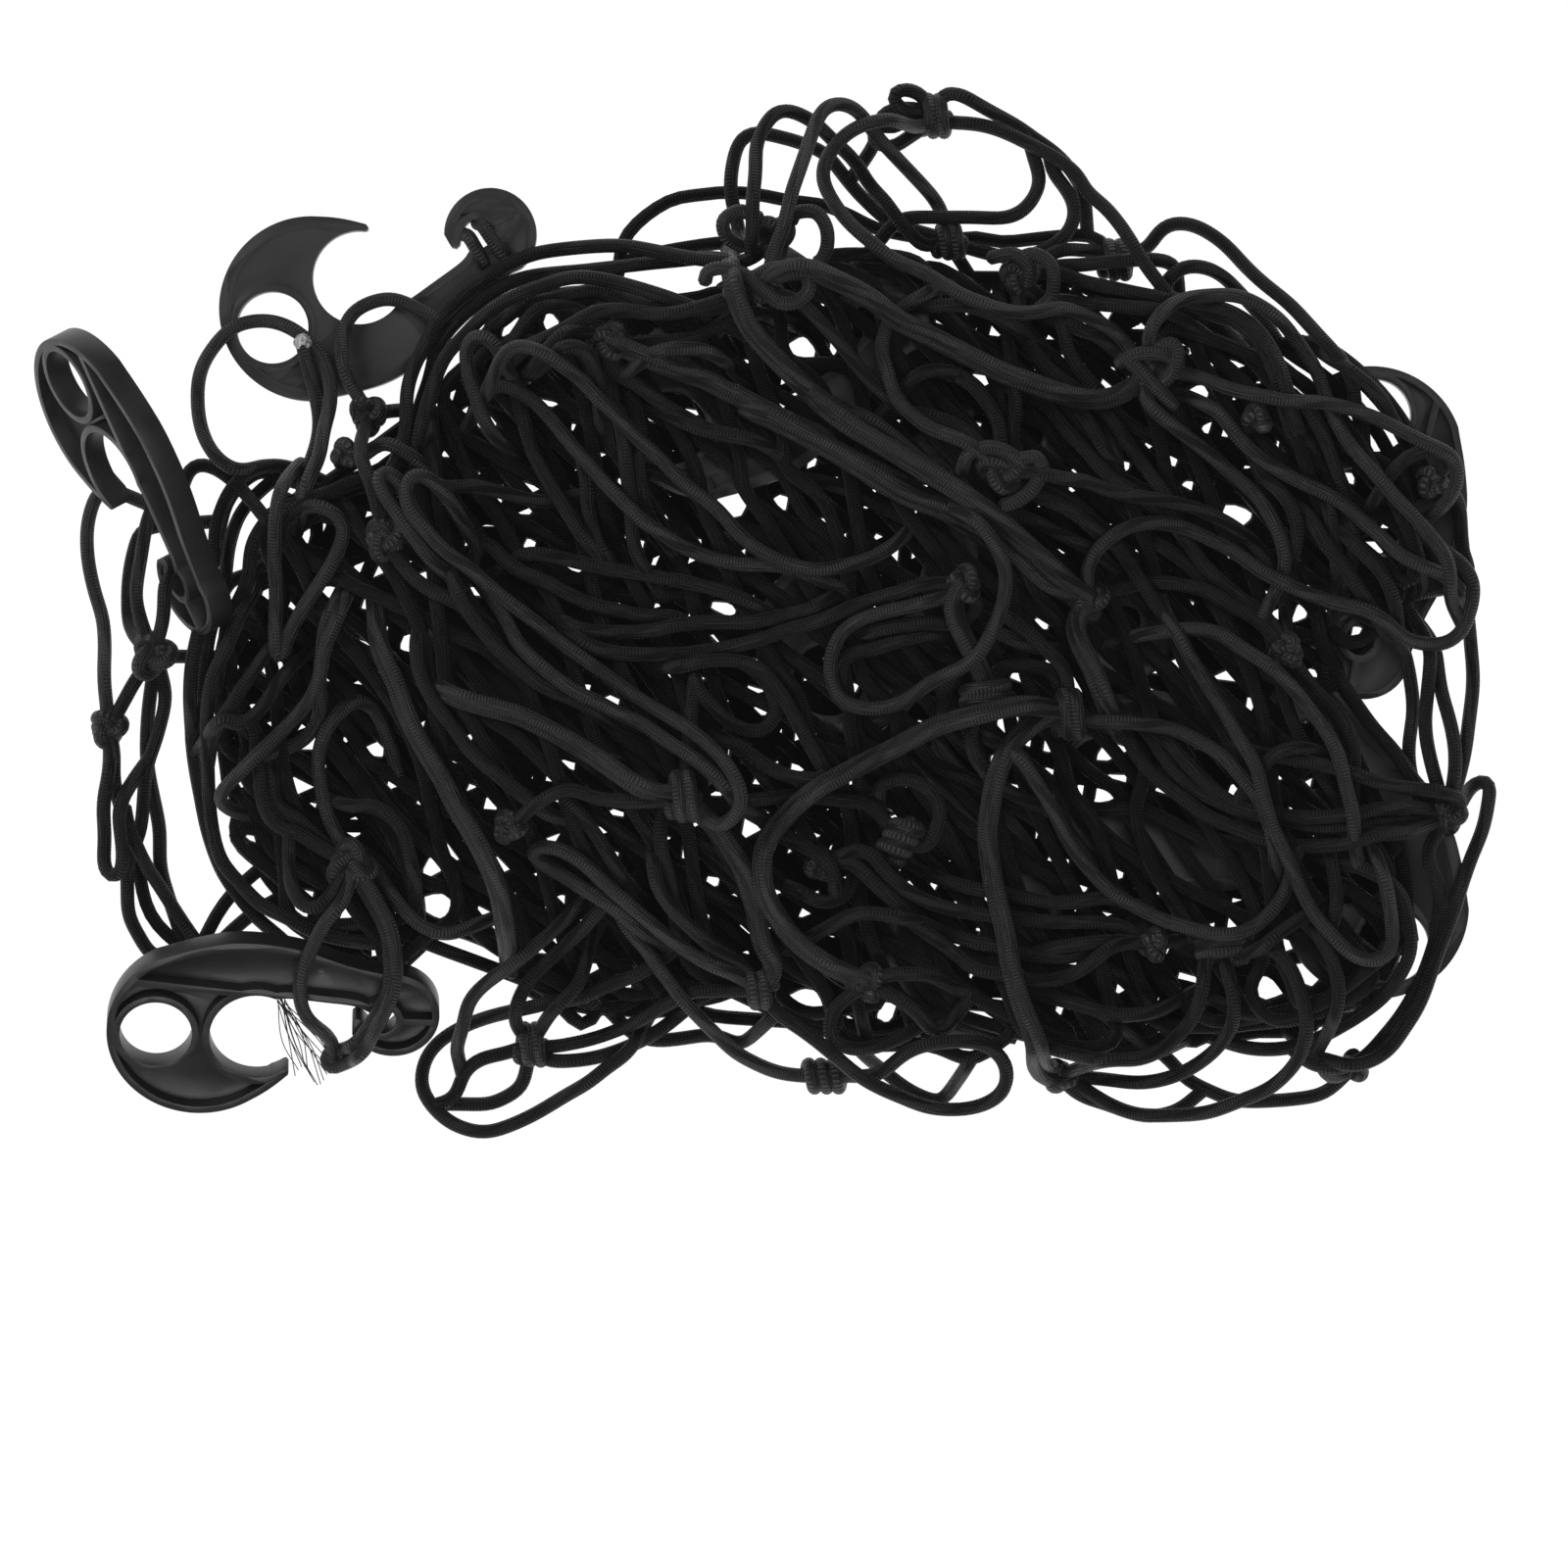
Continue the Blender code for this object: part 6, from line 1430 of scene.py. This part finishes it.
# %% Blocks, outlines and cuts
def solid(name, edge, low, high):
    """A closed block over the loop, between two heights."""
    bm = bmesh.new()
    face = bm.faces.new([bm.verts.new((u, v, low)) for u, v in edge])
    grown = bmesh.ops.extrude_face_region(bm, geom=[face])["geom"]
    upper = [item for item in grown if isinstance(item, bmesh.types.BMVert)]
    bmesh.ops.translate(bm, verts=upper, vec=(0, 0, high - low))
    bmesh.ops.recalc_face_normals(bm, faces=bm.faces)
    mesh = bpy.data.meshes.new(name)
    bm.to_mesh(mesh)
    bm.free()
    made = bpy.data.objects.new(name, mesh)
    scene.collection.objects.link(made)
    return made


def round_edge(u, v, radius, count=72):
    """Points on a circle."""
    angles = np.linspace(0, 2 * math.pi, count, endpoint=False)
    return np.column_stack([u + radius * np.cos(angles), v + radius * np.sin(angles)])


def bar_edge(start, end, width):
    """The four corners of a straight bar."""
    start, end = np.array(start, float), np.array(end, float)
    along = (end - start) / np.linalg.norm(end - start)
    side = np.array([-along[1], along[0]]) * width / 2
    return np.array([start - side, end - side, end + side, start + side])


def inset(edge, widths):
    """The loop moved inwards; points that come too near another part of the edge are dropped."""
    along = np.roll(edge, -1, axis=0) - np.roll(edge, 1, axis=0)
    along /= np.linalg.norm(along, axis=1)[:, None]
    widths = np.broadcast_to(widths, len(edge)).astype(float)
    moved = edge + widths[:, None] * leftward(along)
    nearest = np.linalg.norm(moved[:, None] - edge[None], axis=2).min(axis=1)
    return moved[nearest > widths * 0.95]


def cut(target, *cutters):
    """Take the cutters away from the target, then remove them."""
    for cutter in cutters:
        step = target.modifiers.new(cutter.name, "BOOLEAN")
        step.operation = "DIFFERENCE"
        step.solver = "MANIFOLD"
        step.object = cutter
    graph = bpy.context.evaluated_depsgraph_get()
    target.data = bpy.data.meshes.new_from_object(target.evaluated_get(graph))
    target.modifiers.clear()
    for cutter in cutters:
        bpy.data.objects.remove(cutter)


print("A rim of 2 mm leaves", len(inset(HOOK_EDGE, 2)), "of the edge's points")

# %% The fine hook
RIM = 2.3                   # width of the rim round the deep pocket
POCKET = 5.0                # depth of that pocket
RECESS = 1.0                # depth of the shallow one
RING = 13.6                 # radius of the ring round the hole
RIB_WIDTH = 2.2
LONG_RIB = ((-26, -21.8), (23.5, -10.4))
CURL_RIB = ((60.5, 2), (76, 4.2))
MARK = [(-14.4, -21.2), (-9.6, -24.4), (-9.2, -20.0)]
PINS = [(-22, 19), (40, -16)]
PIN_RADIUS = 1.7
MARK_DEPTH = 0.6            # below the shallow side's floor
EDGE_ROUND = 0.32
EDGE_ANGLE = 35             # edges sharper than this are rounded, in degrees
SHARP_ANGLE = 40            # and those still sharper than this are drawn sharp


def fine_hook():
    """The hook's mesh about its head's middle: worked out in millimetres, given back in metres."""
    top, bottom = HOOK_THICK / 2, -HOOK_THICK / 2
    hook = solid("hook_blank", HOOK_EDGE, bottom, top)
    pocket = solid("pocket", inset(HOOK_EDGE, RIM), bottom - 2, bottom + POCKET)
    cut(pocket,
        solid("ring", round_edge(*HOLE[:2], RING), bottom - 3, top),
        solid("long_rib", bar_edge(*LONG_RIB, RIB_WIDTH), bottom - 3, top),
        solid("curl_rib", bar_edge(*CURL_RIB, RIB_WIDTH), bottom - 3, top))
    recess = solid("recess", inset(HOOK_EDGE, FLAT_RIMS), top - RECESS, top + 2)
    cut(recess,
        solid("ring", round_edge(*HOLE[:2], RING), 0, top + 3),
        solid("curl_rib", bar_edge(*CURL_RIB, RIB_WIDTH * 0.8), 0, top + 3))
    mark = solid("mark", MARK, top - RECESS - MARK_DEPTH, top)
    pins = [solid("pin", round_edge(*place, PIN_RADIUS, 24), bottom + POCKET - 1, bottom + POCKET + 0.25)
            for place in PINS]
    hole = solid("hole", round_edge(*HOLE), bottom - 1, top + 1)
    cut(hook, pocket, recess, mark, hole, *pins)
    bevel = hook.modifiers.new("edges", "BEVEL")
    bevel.width = EDGE_ROUND
    bevel.segments = 2
    bevel.limit_method = "ANGLE"
    bevel.angle_limit = math.radians(EDGE_ANGLE)
    graph = bpy.context.evaluated_depsgraph_get()
    mesh = bpy.data.meshes.new_from_object(hook.evaluated_get(graph))
    bpy.data.objects.remove(hook)
    mesh.name = "fine_hook"
    mesh.transform(Matrix.Scale(MM, 4))
    mesh.materials.clear()
    mesh.shade_smooth()
    mesh.set_sharp_from_angle(angle=math.radians(SHARP_ANGLE))
    return mesh


hook_form = fine_hook()
print("Each hook has", sum(len(face.vertices) - 2 for face in hook_form.polygons), "triangles")

# %% [markdown]
# ## The hook's plastic
#
# Moulded polypropylene: satin black, a little paler where it has been rubbed, with a faint unevenness that
# breaks the highlights up.

# %% Plastic
WEAR_GREYS = [(0.35, 0.010), (0.75, 0.022)]     # place in the noise, grey


def plastic_material():
    """Satin black plastic."""
    made, tree = new_material("moulded_plastic")
    shader = principled(tree, 0.4, 0.42)
    wide = tree.nodes.new("ShaderNodeTexCoord").outputs["Object"]
    wear = noise(tree, wide, 60.0, 6.0)
    grain = noise(tree, wide, 1600.0, 2.0)
    tree.links.new(colour_ramp(tree, wear, WEAR_GREYS), shader.inputs["Base Color"])
    rough = maths(tree, "ADD", maths(tree, "MULTIPLY", wear, 0.22), 0.30)
    tree.links.new(rough, shader.inputs["Roughness"])
    tree.links.new(bump(tree, grain, 0.00006, 0.5), shader.inputs["Normal"])
    return made


hook_form.materials.append(plastic_material())
for (name, x, y, heading, roll, _), height in hooks:
    piece = bpy.data.objects.new(name + "_fine", hook_form)
    turn = hook_turn(heading, roll).to_4x4()
    piece.matrix_world = Matrix.Translation((x * MM, y * MM, height * MM)) @ turn
    scene.collection.objects.link(piece)
    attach(piece, "root")
    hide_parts(name)
print("Hooks placed:", len(hooks))
